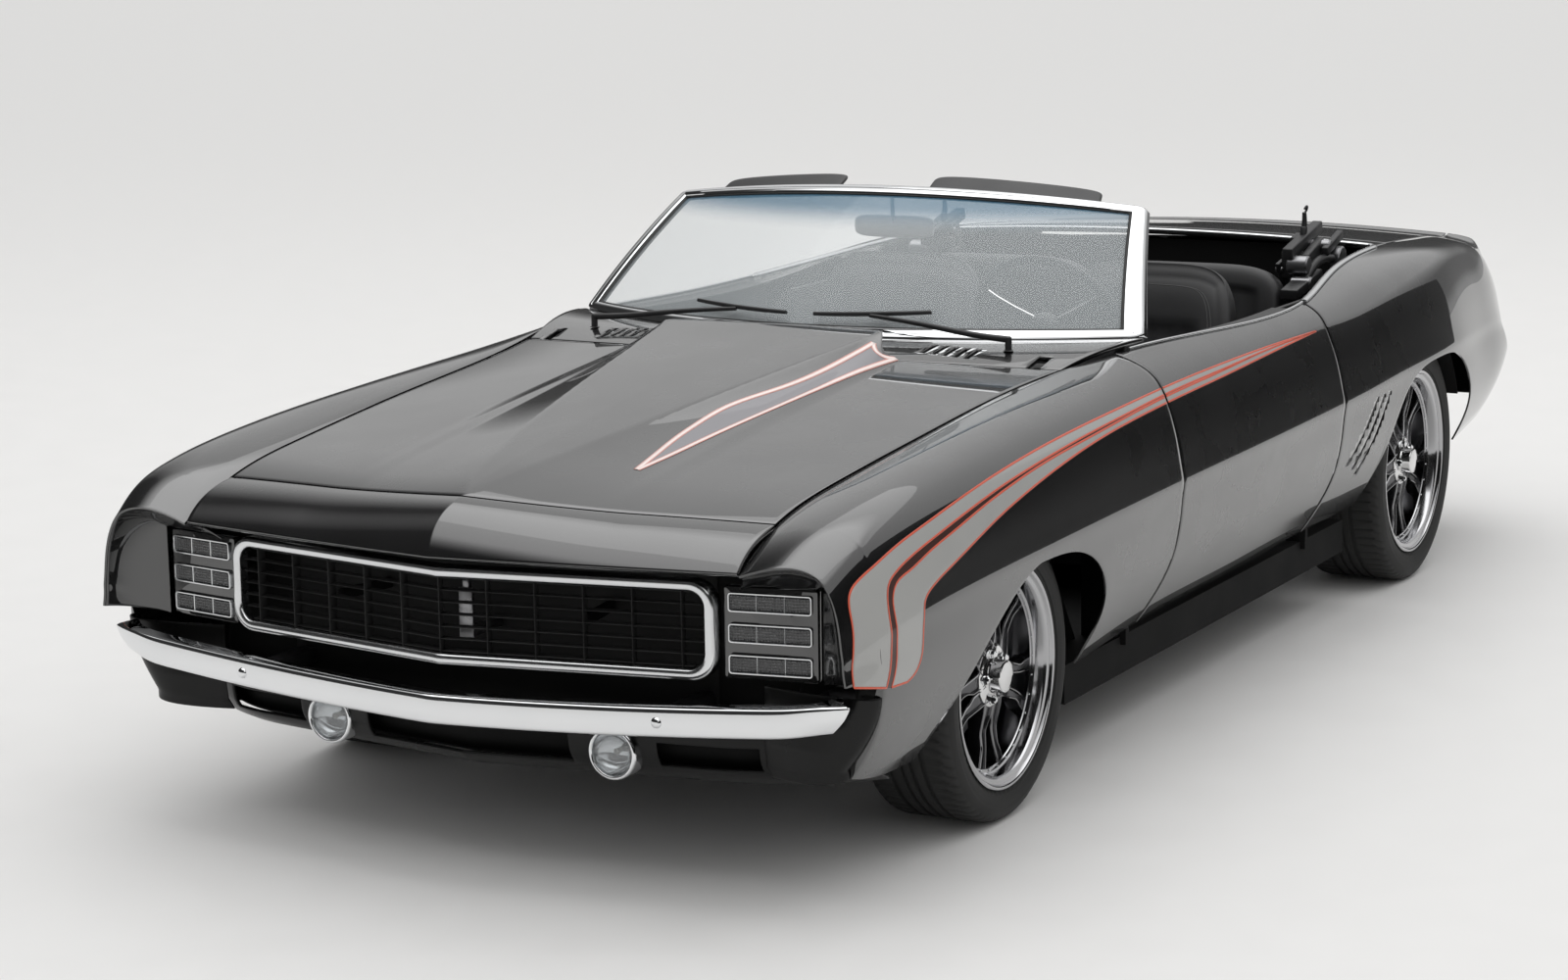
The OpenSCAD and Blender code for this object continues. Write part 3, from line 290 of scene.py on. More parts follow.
def two_sided(top, k):
    """Faces of a closed sheet: its top, the same faces k points on, and the rims between."""
    edges = {(f[i], f[(i + 1) % 4]): None for f in top for i in range(4)}
    rim = [(b, a, a + k, b + k) for a, b in edges if (b, a) not in edges]
    return top + [tuple(v + k for v in f[::-1]) for f in top] + rim


def grid_normals(grid):
    n = np.cross(np.gradient(grid, axis=0), np.gradient(grid, axis=1))
    return n / np.maximum(np.linalg.norm(n, axis=2, keepdims=True), 1e-12)


def shell(name, grid, thick, material, mirror=False, edge=0.0015, keep=None, lift=0.0):
    """Sheet of the given thickness under a grid of points, with rounded rims."""
    grid = np.asarray(grid, float)
    n, m = grid.shape[:2]
    normal = grid_normals(grid)
    outer, inner = grid + lift * normal, grid + (lift - thick) * normal
    verts = np.concatenate([outer.reshape(-1, 3), inner.reshape(-1, 3)])
    faces = two_sided(grid_faces(n, m, keep), n * m)
    if mirror:
        verts = verts * np.array([1, -1, 1])
        faces = [tuple(reversed(f)) for f in faces]
    obj = mesh_object(name, verts, faces, material)
    if keep is not None:
        b = bmesh.new()
        b.from_mesh(obj.data)
        bmesh.ops.delete(b, geom=[v for v in b.verts if not v.link_faces], context="VERTS")
        b.to_mesh(obj.data)
        b.free()
    return bevelled(obj, edge) if edge else obj


def lathe(profile, segments, centre, side=1, ripple=None):
    """Closed ring of revolution about the wheel axis. Profile rows: radius, place along the axis."""
    profile = np.asarray(profile, float)
    a = np.linspace(0, 2 * np.pi, segments, endpoint=False)
    r = np.repeat(profile[None, :, 0], segments, 0)
    y = np.repeat(profile[None, :, 1], segments, 0)
    if ripple is not None:
        r = r + ripple(a[:, None], profile[None, :, 1])
    ring = np.stack([r * np.cos(a)[:, None], y, r * np.sin(a)[:, None]], -1)
    return donut(ring * np.array([side, side, 1]) + np.array(centre))


def tube(points, radius, sides=10):
    """Round tube along a path."""
    p = np.asarray(points, float)
    radius = np.broadcast_to(np.asarray(radius, float), (len(p),))
    d = np.gradient(p, axis=0)
    d /= np.linalg.norm(d, axis=1, keepdims=True)
    ref = np.array([0, 0, 1.0]) if abs(d[0][2]) < 0.9 else np.array([1.0, 0, 0])
    rings = []
    for i in range(len(p)):
        u = ref - d[i] * (ref @ d[i])
        u /= np.linalg.norm(u)
        ref = u
        v = np.cross(d[i], u)
        a = np.linspace(0, 2 * np.pi, sides, endpoint=False)[:, None]
        rings.append(p[i] + radius[i] * (np.cos(a) * u + np.sin(a) * v))
    return loft(rings)


def loft(rows):
    """Closed sections joined along a path."""
    rows = [np.asarray(r, float) for r in rows]
    m = len(rows[0])
    verts = np.concatenate(rows)
    faces = []
    for i in range(len(rows) - 1):
        for j in range(m):
            a, b = i * m + j, i * m + (j + 1) % m
            faces.append((a, b, b + m, a + m))
    return verts, faces + [tuple(reversed(range(m))), tuple(range(len(verts) - m, len(verts)))]


def joined(parts):
    verts, faces, base = [], [], 0
    for v, f in parts:
        verts.append(np.asarray(v, float))
        faces += [tuple(i + base for i in q) for q in f]
        base += len(v)
    return np.concatenate(verts), faces


def outward(obj):
    b = bmesh.new()
    b.from_mesh(obj.data)
    bmesh.ops.recalc_face_normals(b, faces=b.faces)
    b.to_mesh(obj.data)
    b.free()
    return obj


def crisp(obj, angle=35):
    obj.data.set_sharp_from_angle(angle=math.radians(angle))
    return obj


def on_body(obj, body, slot, *nodes):
    """Attaches a finished piece to what it rides on and hides the solids it stands for; the finish slot is not used.
    """
    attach(obj, body)
    if nodes:
        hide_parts(*nodes)
    return obj


def box_part(lo, hi):
    (a, b, c), (d, e, f) = lo, hi
    v = np.array([(x, y, z) for x in (a, d) for y in (b, e) for z in (c, f)])
    return v, [(0, 1, 3, 2), (4, 6, 7, 5), (0, 4, 5, 1), (2, 3, 7, 6), (0, 2, 6, 4), (1, 5, 7, 3)]


def smoothstep(v):
    r = np.clip(v, 0, 1)
    return r * r * (3 - 2 * r)


def turned(profile, segments, at, axis=(0, 1, 0)):
    """Body of revolution, closed on its axis or back on itself. Profile rows: radius, place along the axis."""
    w = np.asarray(axis, float) / np.linalg.norm(axis)
    u = np.cross((0, 0, 1) if abs(w[2]) < 0.9 else (1, 0, 0), w)
    u /= np.linalg.norm(u)
    a = np.linspace(0, 2 * np.pi, segments, endpoint=False)[:, None]
    spin = np.cos(a) * u + np.sin(a) * np.cross(w, u)
    verts, index = [], []
    for r, s in profile:
        ring = spin * r if r > 1e-9 else np.zeros((1, 3))
        index.append(range(len(verts), len(verts) + len(ring)))
        verts += list(np.asarray(at) + s * w + ring)
    pairs = list(zip(index, index[1:])) + ([(index[-1], index[0])] if len(index[0]) > 1 else [])
    faces = []
    for p, q in pairs:
        for j in range(segments):
            k = (j + 1) % segments
            f = tuple(dict.fromkeys((p[j % len(p)], p[k % len(p)], q[k % len(q)], q[j % len(q)])))
            if len(f) > 2:
                faces.append(f)
    return np.array(verts), faces


def donut(grid):
    """Closed ring from a grid of points that closes both ways."""
    n, m = grid.shape[:2]
    faces = [(a * m + b, (a + 1) % n * m + b, (a + 1) % n * m + (b + 1) % m, a * m + (b + 1) % m)
             for a in range(n) for b in range(m)]
    return grid.reshape(-1, 3), faces


def slab(near, far):
    """Closed solid between two grids of points."""
    n, m = near.shape[:2]
    verts = np.concatenate([near.reshape(-1, 3), far.reshape(-1, 3)])
    return verts, two_sided(grid_faces(n, m), n * m)


def outline(half_w, half_h, radius, middle=24, side=10, corner=8):
    """Rounded rectangle as a closed path of (u, v), with a point at the middle of its long edges."""
    a = np.radians(np.linspace(0, 90, corner + 1))
    arc = radius * np.stack([np.cos(a), np.sin(a)], -1)
    spin = np.array([[0, -1], [1, 0]])
    place = [(1, 1), (-1, 1), (-1, -1), (1, -1)]
    path = []
    for k, (p, q) in enumerate(place):
        turn = np.linalg.matrix_power(spin, k)
        path.append(arc @ turn.T + np.array([p * (half_w - radius), q * (half_h - radius)]))
        start, end = path[-1][-1], np.array(place[(k + 1) % 4]) * (half_w - radius, half_h - radius)
        end = end + radius * np.array([(0, 1), (-1, 0), (0, -1), (1, 0)][k])
        n = middle if k % 2 == 0 else side
        path.append(start + (end - start) * np.linspace(0, 1, n + 1)[1:-1, None])
    return np.concatenate(path)


def pillow(half, cuts, power, shape=None):
    """Rounded block of evenly cut faces, and the function that places any point of a cube on it."""
    half = np.asarray(half, float)

    def place(q):
        q = np.asarray(q, float)
        p = q / (np.sum(np.abs(q) ** power, axis=-1, keepdims=True) ** (1 / power)) * half
        return p if shape is None else shape(q, p)

    line = np.linspace(-1, 1, cuts + 1)
    found, faces = {}, []
    for axis in range(3):
        b, c = (axis + 1) % 3, (axis + 2) % 3
        for sign in (-1, 1):
            for i in range(cuts):
                for j in range(cuts):
                    quad = []
                    for u, v in ((i, j), (i + 1, j), (i + 1, j + 1), (i, j + 1)):
                        key = [0, 0, 0]
                        key[axis], key[b], key[c] = sign, line[u], line[v]
                        quad.append(found.setdefault(tuple(key), len(found)))
                    faces.append(tuple(quad[::sign]))
    return place(np.array(list(found))), faces, place


def made(name, part, material, bevel=0.0, angle=0, body="chassis", slot="dark_trim", nodes=(), cut=None):
    """A closed piece with its finish, riding on its body."""
    obj = outward(mesh_object(name, part[0], part[1], material))
    if cut is not None:
        carve(obj, cut)
    if bevel:
        bevelled(obj, bevel)
    if angle:
        crisp(obj, angle)
    return on_body(obj, body, slot, *nodes)


def carve(obj, part):
    """Takes a closed shape out of a piece."""
    tool = outward(mesh_object(obj.name + " tool", *part, obj.data.materials[0]))
    cutter = obj.modifiers.new("cut", "BOOLEAN")
    cutter.operation, cutter.solver, cutter.object = "DIFFERENCE", "EXACT", tool
    settle(obj)
    bpy.data.objects.remove(tool)
    return obj


def bent(a, mid, b, s):
    """Quadratic curve from a to b, drawn towards mid."""
    return (a * (1 - s) + mid * s) * (1 - s) + (mid * (1 - s) + b * s) * s


def stepped(stops, step, least):
    """Values from stop to stop, about a step apart."""
    return np.unique(np.concatenate([np.linspace(a, b, max(least, int((b - a) / step)))
                                     for a, b in zip(stops, stops[1:])]))


def painted(name, grid, thick, *nodes, key="paint", body="chassis", mirror=False, edge=0.002, keep=None):
    """Painted sheet of the body."""
    return on_body(shell(name, grid, thick, M[key], mirror, edge, keep), body, "body_paint", *nodes)


def decal(name, grid, key, body, lift, mirror=False):
    """Painted shape lying on a panel."""
    on_body(shell(name, grid, DECAL_T, M[key], mirror, 0, lift=lift), body, "body_paint")


def both(part):
    """A part and its mirror image across the car."""
    v = np.asarray(part[0], float)
    return joined([(v, part[1]), (v * np.array([1, -1, 1]), [tuple(reversed(f)) for f in part[1]])])


def repeat_group():
    """Geometry Nodes group that sets copies of one item along a line or round an axis."""
    g = bpy.data.node_groups.new("repeat", "GeometryNodeTree")
    for label, kind in (("Geometry", "Geometry"), ("Item", "Object"), ("Count", "Int"), ("Start", "Vector"),
                        ("Step", "Vector"), ("Turn", "Vector"), ("Material", "Material")):
        g.interface.new_socket(name=label, in_out="INPUT", socket_type="NodeSocket" + kind)
    g.interface.new_socket(name="Geometry", in_out="OUTPUT", socket_type="NodeSocketGeometry")
    inp, out = g.nodes.new("NodeGroupInput"), g.nodes.new("NodeGroupOutput")
    line, item = g.nodes.new("GeometryNodeMeshLine"), g.nodes.new("GeometryNodeObjectInfo")
    index, turn = g.nodes.new("GeometryNodeInputIndex"), g.nodes.new("ShaderNodeVectorMath")
    turn.operation = "SCALE"
    copies, real = g.nodes.new("GeometryNodeInstanceOnPoints"), g.nodes.new("GeometryNodeRealizeInstances")
    dress = g.nodes.new("GeometryNodeSetMaterial")
    for a, b in ((inp.outputs["Item"], item.inputs["Object"]), (inp.outputs["Count"], line.inputs["Count"]),
                 (inp.outputs["Start"], line.inputs["Start Location"]), (inp.outputs["Step"], line.inputs["Offset"]),
                 (inp.outputs["Turn"], turn.inputs[0]), (index.outputs["Index"], turn.inputs["Scale"]),
                 (line.outputs["Mesh"], copies.inputs["Points"]),
                 (item.outputs["Geometry"], copies.inputs["Instance"]),
                 (turn.outputs[0], copies.inputs["Rotation"]), (copies.outputs["Instances"], real.inputs["Geometry"]),
                 (real.outputs["Geometry"], dress.inputs["Geometry"]),
                 (inp.outputs["Material"], dress.inputs["Material"]),
                 (dress.outputs["Geometry"], out.inputs["Geometry"])):
        g.links.new(a, b)
    return g


def repeated(name, part, material, count, start, step=(0, 0, 0), turn=(0, 0, 0), body="chassis", slot="dark_trim",
             nodes=(), angle=40):
    """Copies of one part along a line or round an axis, as one piece."""
    group = bpy.data.node_groups.get("repeat") or repeat_group()
    item = crisp(outward(mesh_object(name + " item", *part, material)), angle)
    obj = mesh_object(name, [(0, 0, 0)], [], material)
    copies = obj.modifiers.new("repeat", "NODES")
    copies.node_group = group
    ident = {s.name: s.identifier for s in group.interface.items_tree if s.in_out == "INPUT"}
    for label, value in (("Item", item), ("Count", count), ("Start", start), ("Step", step), ("Turn", turn),
                         ("Material", material)):
        copies[ident[label]] = [float(v) for v in value] if label in ("Start", "Step", "Turn") else value
    settle(obj)
    bpy.data.objects.remove(item)
    return on_body(obj, body, slot, *nodes)


# Finishes

def new_group(name, inputs, outputs):
    g = bpy.data.node_groups.new(name, "ShaderNodeTree")
    for n, kind in inputs:
        g.interface.new_socket(name=n, in_out="INPUT", socket_type=kind)
    for n, kind in outputs:
        g.interface.new_socket(name=n, in_out="OUTPUT", socket_type=kind)
    return g, g.nodes.new("NodeGroupInput"), g.nodes.new("NodeGroupOutput")


def grain_group():
    """Uneven tone and fine relief shared by paint, leather, rubber, cloth and metal."""
    g, inp, out = new_group("surface grain", [("Vector", "NodeSocketVector"), ("Scale", "NodeSocketFloat"),
                                               ("Cells", "NodeSocketFloat")],
                            [("Tone", "NodeSocketFloat"), ("Height", "NodeSocketFloat")])
    broad = g.nodes.new("ShaderNodeTexNoise")
    broad.inputs["Scale"].default_value = 6
    broad.inputs["Detail"].default_value = 4
    fine = g.nodes.new("ShaderNodeTexNoise")
    fine.inputs["Detail"].default_value = 3
    cells = g.nodes.new("ShaderNodeTexVoronoi")
    cells.feature = "DISTANCE_TO_EDGE"
    blend = g.nodes.new("ShaderNodeMix")
    g.links.new(inp.outputs["Vector"], broad.inputs["Vector"])
    for n in (fine, cells):
        g.links.new(inp.outputs["Vector"], n.inputs["Vector"])
        g.links.new(inp.outputs["Scale"], n.inputs["Scale"])
    g.links.new(inp.outputs["Cells"], blend.inputs[0])
    g.links.new(fine.outputs["Fac"], blend.inputs[2])
    g.links.new(cells.outputs["Distance"], blend.inputs[3])
    g.links.new(broad.outputs["Fac"], out.inputs["Tone"])
    g.links.new(blend.outputs[0], out.inputs["Height"])
    return g


def finish(name, low, high, scale, bump=0.05, rough=(0.3, 0.4), cells=0.0, reach=0.001, **sockets):
    """Material whose tone and roughness drift between two values, with fine relief."""
    mat = bpy.data.materials.new(name)
    mat.use_nodes = True
    tree = mat.node_tree
    bsdf = tree.nodes["Principled BSDF"]
    for key, value in sockets.items():
        bsdf.inputs[key.replace("_", " ")].default_value = value
    at = tree.nodes.new("ShaderNodeTexCoord")
    grain = tree.nodes.new("ShaderNodeGroup")
    grain.node_tree = GRAIN
    grain.inputs["Scale"].default_value = scale
    grain.inputs["Cells"].default_value = cells
    tree.links.new(at.outputs["Object"], grain.inputs["Vector"])
    tone = tree.nodes.new("ShaderNodeMix")
    tone.data_type = "RGBA"
    tone.inputs[6].default_value = (*low, 1)
    tone.inputs[7].default_value = (*high, 1)
    tree.links.new(grain.outputs["Tone"], tone.inputs[0])
    tree.links.new(tone.outputs[2], bsdf.inputs["Base Color"])
    span = tree.nodes.new("ShaderNodeMapRange")
    span.inputs["From Min"].default_value = 0.3
    span.inputs["From Max"].default_value = 0.7
    span.inputs["To Min"].default_value, span.inputs["To Max"].default_value = rough
    tree.links.new(grain.outputs["Tone"], span.inputs["Value"])
    tree.links.new(span.outputs["Result"], bsdf.inputs["Roughness"])
    relief = tree.nodes.new("ShaderNodeBump")
    relief.inputs["Strength"].default_value = bump
    relief.inputs["Distance"].default_value = reach
    tree.links.new(grain.outputs["Height"], relief.inputs["Height"])
    tree.links.new(relief.outputs["Normal"], bsdf.inputs["Normal"])
    return mat


GRAIN = None
M = {}
CLEAR_GLASS = (0.70, 0.75, 0.77, 1)


def make_finishes(look):
    """All finishes of the car, by name."""
    global GRAIN
    GRAIN = grain_group()
    paint = tuple(look.paint)
    gloss = dict(Coat_Weight=1.0, Coat_Roughness=0.012, Coat_IOR=look.gloss, IOR=1.3)
    M["paint"] = finish("black paint", paint, tuple(1.3 * c for c in paint), 900, 0.004, (0.3, 0.4), reach=0.0001,
                        **gloss)
    thin = dict(Coat_Weight=0.5, Coat_Roughness=0.012, Coat_IOR=1.5)
    # pinline is a pale tone on the spear's red lines: a painted highlight, not the lines' own colour.
    for key in ("silver", "outline", "gap", "pinline", "fringe", "spear"):
        tone = look.stripe if key == "silver" else getattr(look, key)
        M[key] = finish("stripe " + key, tuple(tone), tuple(1.08 * c for c in tone), 1400, 0.004, (0.4, 0.48),
                        reach=0.0001, **thin)
    M["chrome"] = finish("chrome", (0.80, 0.81, 0.82), (0.86, 0.87, 0.88), 60, 0.004, (0.03, 0.07), Metallic=1.0)
    M["bright"] = finish("bright trim", (0.72, 0.73, 0.74), (0.80, 0.81, 0.82), 180, 0.02, (0.14, 0.22), Metallic=1.0)
    M["dark"] = finish("dark trim", (0.010, 0.010, 0.011), (0.018, 0.018, 0.019), 700, 0.08, (0.3, 0.42))
    M["satin"] = finish("satin black metal", (0.012, 0.012, 0.013), (0.022, 0.022, 0.023), 900, 0.06, (0.38, 0.5))
    # Underbody black: the black of the underbody, made darker than the satin metal as painted shade under the body.
    M["under"] = finish("underbody black", (0.004, 0.004, 0.004), (0.007, 0.007, 0.007), 300, 0.2, (0.7, 0.8),
                        Specular_IOR_Level=0.2)
    M["lower"] = finish("lower body black", (0.002, 0.002, 0.002), (0.003, 0.003, 0.003), 500, 0.01, (0.25, 0.35),
                        Specular_IOR_Level=0.3)
    M["pit"] = finish("unlit recess", (0.002, 0.002, 0.002), (0.004, 0.004, 0.004), 300, 0.02, (0.7, 0.8))
    M["rubber"] = finish("tyre rubber", (0.012, 0.012, 0.012), (0.022, 0.022, 0.021), 1500, 0.25, (0.62, 0.75))
    M["seal"] = finish("rubber seal", (0.008, 0.008, 0.008), (0.014, 0.014, 0.014), 900, 0.1, (0.5, 0.62))
    M["polished"] = finish("polished alloy", (0.74, 0.74, 0.74), (0.82, 0.82, 0.82), 220, 0.01, (0.06, 0.12),
                           Metallic=1.0)
    M["brushed"] = finish("brushed alloy", (0.34, 0.34, 0.35), (0.46, 0.46, 0.47), 800, 0.05, (0.24, 0.34),
                          Metallic=1.0)
    M["machined"] = finish("dark machined alloy", (0.10, 0.10, 0.105), (0.15, 0.15, 0.155), 900, 0.05, (0.22, 0.30),
                           Metallic=1.0)
    M["leather"] = finish("black leather", (0.014, 0.014, 0.015), (0.026, 0.026, 0.027), 420, 0.35, (0.36, 0.48),
                          cells=0.75,
                          reach=0.0008)
    M["thread"] = finish("seam thread", (0.06, 0.06, 0.06), (0.11, 0.11, 0.11), 2500, 0.2, (0.6, 0.7))
    M["plastic"] = finish("moulded plastic", (0.014, 0.014, 0.014), (0.024, 0.024, 0.024), 1200, 0.15, (0.42, 0.52),
                          cells=0.5)
    M["cloth"] = finish("top cloth", (0.010, 0.010, 0.010), (0.020, 0.020, 0.020), 2600, 0.4, (0.8, 0.9), cells=0.4)
    M["carpet"] = finish("carpet", (0.010, 0.010, 0.010), (0.022, 0.022, 0.022), 3200, 0.7, (0.9, 0.97), cells=0.3)
    M["iron"] = finish("cast iron", (0.04, 0.04, 0.042), (0.075, 0.075, 0.078), 400, 0.4, (0.5, 0.65), Metallic=0.6)
    M["steel"] = finish("bare steel", (0.26, 0.26, 0.27), (0.38, 0.38, 0.39), 500, 0.08, (0.3, 0.42), Metallic=1.0)
    M["red"] = finish("red lens", (0.22, 0.006, 0.008), (0.30, 0.010, 0.012), 500, 0.05, (0.08, 0.12),
                      Coat_Weight=1.0)
    M["lens"] = finish("clear lens", (0.80, 0.82, 0.83), (0.88, 0.90, 0.91), 140, 0.25, (0.04, 0.08),
                       Transmission_Weight=0.85, IOR=1.45)
    M["barrel"] = finish("rim metal", (0.40, 0.40, 0.41), (0.50, 0.50, 0.51), 300, 0.01, (0.08, 0.14), Metallic=1.0)
    M["spoke"] = finish("spoke alloy", (0.24, 0.24, 0.245), (0.30, 0.30, 0.305), 500, 0.02, (0.10, 0.16),
                        Metallic=1.0)
    M["mirror"] = finish("mirror glass", (0.86, 0.87, 0.88), (0.9, 0.91, 0.92), 40, 0.0, (0.01, 0.02), Metallic=1.0)
    M["wire"] = finish("grille wire", (0.012, 0.012, 0.012), (0.018, 0.018, 0.018), 600, 0.05, (0.4, 0.5))
    M["ribbed"] = finish("ribbed lamp glass", (0.02, 0.02, 0.021), (0.04, 0.04, 0.042), 500, 0.05, (0.16, 0.24),
                         Coat_Weight=0.8)
    M["bulb"] = finish("frosted bulb", (0.62, 0.60, 0.55), (0.72, 0.70, 0.66), 200, 0.03, (0.3, 0.4))
    M["pale"] = finish("pale grey shell", (0.42, 0.42, 0.43), (0.50, 0.50, 0.51), 700, 0.05, (0.3, 0.38))
    M["glass"] = glass_finish(look)


def glass_finish(look):
    """Clear windshield glass with a blue band that fades below the header."""
    mat = bpy.data.materials.new("windshield glass")
    mat.use_nodes = True
    tree = mat.node_tree
    bsdf = tree.nodes["Principled BSDF"]
    bsdf.inputs["Roughness"].default_value = 0.0
    bsdf.inputs["IOR"].default_value = 1.45
    bsdf.inputs["Base Color"].default_value = CLEAR_GLASS
    at = tree.nodes.new("ShaderNodeTexCoord")
    split = tree.nodes.new("ShaderNodeSeparateXYZ")
    band = tree.nodes.new("ShaderNodeMapRange")
    band.interpolation_type = "SMOOTHSTEP"
    band.inputs["From Min"].default_value = look.band_height
    band.inputs["From Max"].default_value = look.band_height + 0.06
    tint = tree.nodes.new("ShaderNodeMix")
    tint.data_type = "RGBA"
    tint.inputs[6].default_value = CLEAR_GLASS
    tint.inputs[7].default_value = (*look.band, 1)
    clear = tree.nodes.new("ShaderNodeMapRange")
    clear.inputs["To Min"].default_value = 0.24
    clear.inputs["To Max"].default_value = 0.62
    tree.links.new(at.outputs["Object"], split.inputs[0])
    tree.links.new(split.outputs["Z"], band.inputs["Value"])
    tree.links.new(band.outputs["Result"], tint.inputs[0])
    tree.links.new(tint.outputs[2], bsdf.inputs["Base Color"])
    tree.links.new(band.outputs["Result"], clear.inputs["Value"])
    tree.links.new(clear.outputs["Result"], bsdf.inputs["Alpha"])
    return mat


# Painted body

DOOR_FRONT, DOOR_REAR = FRONT_X - 0.810, FRONT_X - 1.940
FENDER_FRONT = FRONT_X + 0.832
SKIN, DOOR_SKIN, DOOR_IN = 0.005, 0.018, 0.745
SIDE_ROWS, SIDE_EDGE, DECAL_T, PAD_FILL = 56, 0.0015, 0.0004, 0.8
LIP_RUN, LIP_H = 0.150, 0.034
SIDES = (("left", False), ("right", True))


def fender_stations():
    return np.concatenate([
        np.linspace(DOOR_FRONT + SHUT, FRONT_X - ARCH_HALF - 0.004, 26),
        arch_stations(FRONT_X, ARCH_HALF, ARCH_POWER, 26, -1)[::-1], [FRONT_X],
        arch_stations(FRONT_X, NOSE_HALF, NOSE_POWER, 30, 1),
        np.linspace(FRONT_X + NOSE_HALF + 0.006, NOTCH_X, 20), np.linspace(NOTCH_X + 0.004, FENDER_FRONT, 16)])


def quarter_stations():
    return np.concatenate([
        np.linspace(REAR_X - 0.980, REAR_X - ARCH_HALF - 0.006, 44),
        arch_stations(REAR_X, ARCH_HALF, ARCH_POWER, 26, -1)[::-1], [REAR_X],
        arch_stations(REAR_X, ARCH_HALF, ARCH_POWER, 26, 1),
        np.linspace(REAR_X + ARCH_HALF + 0.006, DOOR_REAR, 26)])


def make_sides():
    """Fenders, doors and quarter panels."""
    for side, mirror in SIDES:
        painted(f"fender_{side}_panel", side_grid(fender_stations(), SIDE_ROWS), SKIN, f"fender_{side}",
                mirror=mirror, edge=SIDE_EDGE)
        grid = side_grid(quarter_stations(), SIDE_ROWS)
        lip = np.clip((LID_REAR + LIP_RUN - grid[..., 0]) / LIP_RUN, 0, 1) ** 2
        grid[..., 2] += LIP_H * lip * (1 - smoothstep((np.linspace(0, 1, SIDE_ROWS)[None] - 0.08) / 0.12))
        quarter = painted(f"quarter_{side}_panel", grid, SKIN, f"quarter_{side}", mirror=mirror, edge=SIDE_EDGE)
        slots = []
        for i in range(3):
            a, b = REAR_X + ARCH_HALF + 0.176 + 0.056 * i, REAR_X + ARCH_HALF + 0.012 + 0.050 * i
            quad = [(a, 0.411 + 0.016 * i), (a + 0.012, 0.411 + 0.016 * i), (b + 0.012, 0.604), (b, 0.604)]
            slots.append(loft([[(x, (-1 if mirror else 1) * y, z) for x, z in quad] for y in (0.81, 0.95)]))
        carve(quarter, joined(slots))
        xs = np.linspace(DOOR_REAR + SHUT, DOOR_FRONT, 90)
        painted(f"door_{side}_skin", side_grid(xs, SIDE_ROWS), DOOR_SKIN, f"door_{side}", body=f"door_{side}",
                mirror=mirror, edge=SIDE_EDGE)


# Hood, header and deck

HOOD_REAR, HOOD_FRONT, HEADER_HALF = FRONT_X - 0.580, FRONT_X + 0.772, 0.667
HOOD_BOW, TONGUE_SET, HOOD_T = 0.120, 0.018, 0.014
SCOOP_FOOT, SCOOP_HALF, SCOOP_H = 0.360, 0.290, 0.056


def hood_end(y):
    return HOOD_FRONT - 0.16 * np.abs(y)


def hood_tail(y):
    return HOOD_REAR + HOOD_BOW * (1 - (y / HEADER_HALF) ** 2)


def hood_start(y):
    k = smoothstep((SCOOP_FOOT - 0.034 - np.abs(y)) / 0.05)
    return hood_tail(y) * (1 - k) + (HOOD_REAR + TONGUE_SET) * k


def hood_height(s, y, t, edge_z):
    w = SCOOP_HALF * np.maximum(1 - s, 0) ** 0.8
    crown = 0.022 + (0.010 - 0.022) * s
    rise = SCOOP_H + (0.016 - SCOOP_H) * s
    return edge_z + crown * (1 - t * t) + rise * np.clip((SCOOP_FOOT - np.abs(y)) / (SCOOP_FOOT - w), 0, 1) ** 1.5


def hood_top(s, t):
    s, t = np.broadcast_arrays(np.asarray(s, float), np.asarray(t, float))
    e = line_point(HOOD_REAR + (hood_end(HEADER_HALF) - HOOD_REAR) * s, EDGE)
    y = t * (e[..., 0] - SHUT)
    x = hood_start(y) * (1 - s) + hood_end(y) * s
    return np.stack([x, y, hood_height(s, y, t, e[..., 1])], -1)


def hood_at(x, y):
    """Point of the hood's surface above the place (x, y)."""
    s = (x - hood_start(y)) / (hood_end(y) - hood_start(y))
    e = line_point(HOOD_REAR + (hood_end(HEADER_HALF) - HOOD_REAR) * s, EDGE)
    t = y / (e[..., 0] - SHUT)
    return np.stack([x, y, hood_height(s, y, t, e[..., 1])], -1)


LIP_X, NOSE_T = TIP_X - 0.018, 0.012


def nose_point(y, s):
    lip = np.stack([LIP_X - 0.125 * np.abs(y), y, 0.674 + 0.006 * (y / HEADER_HALF) ** 2], -1)
    head = hood_top(np.ones_like(y), np.minimum(1, np.abs(y) / (HEADER_HALF - SHUT)))
    head = np.stack([head[..., 0] + SHUT, y, head[..., 2]], -1)
    mid = np.stack([head[..., 0] + (lip[..., 0] - head[..., 0]) * 0.68, y, head[..., 2] - 0.012], -1)
    s = s[..., None]
    return bent(lip, mid, head, s)


SCREEN_CORNER_X = HOOD_REAR - 0.060 - 0.320
FOOT_Y = float(line_point(SCREEN_CORNER_X, EDGE)[0]) - SHUT - 0.004


def screen(t, s):
    t, s = np.broadcast_arrays(np.asarray(t, float), np.asarray(s, float))
    foot = np.stack([HOOD_REAR - 0.060 - 0.320 * t * t, FOOT_Y * t, 0.924 - 0.010 * t * t], -1)
    top = np.stack([HOOD_REAR - 0.580 - 0.105 * t * t, 0.650 * t, 1.234 - 0.043 * t * t], -1)
    return foot + (top - foot) * s[..., None] + np.array([0.011, 0, 0.008]) * (4 * s * (1 - s))[..., None]


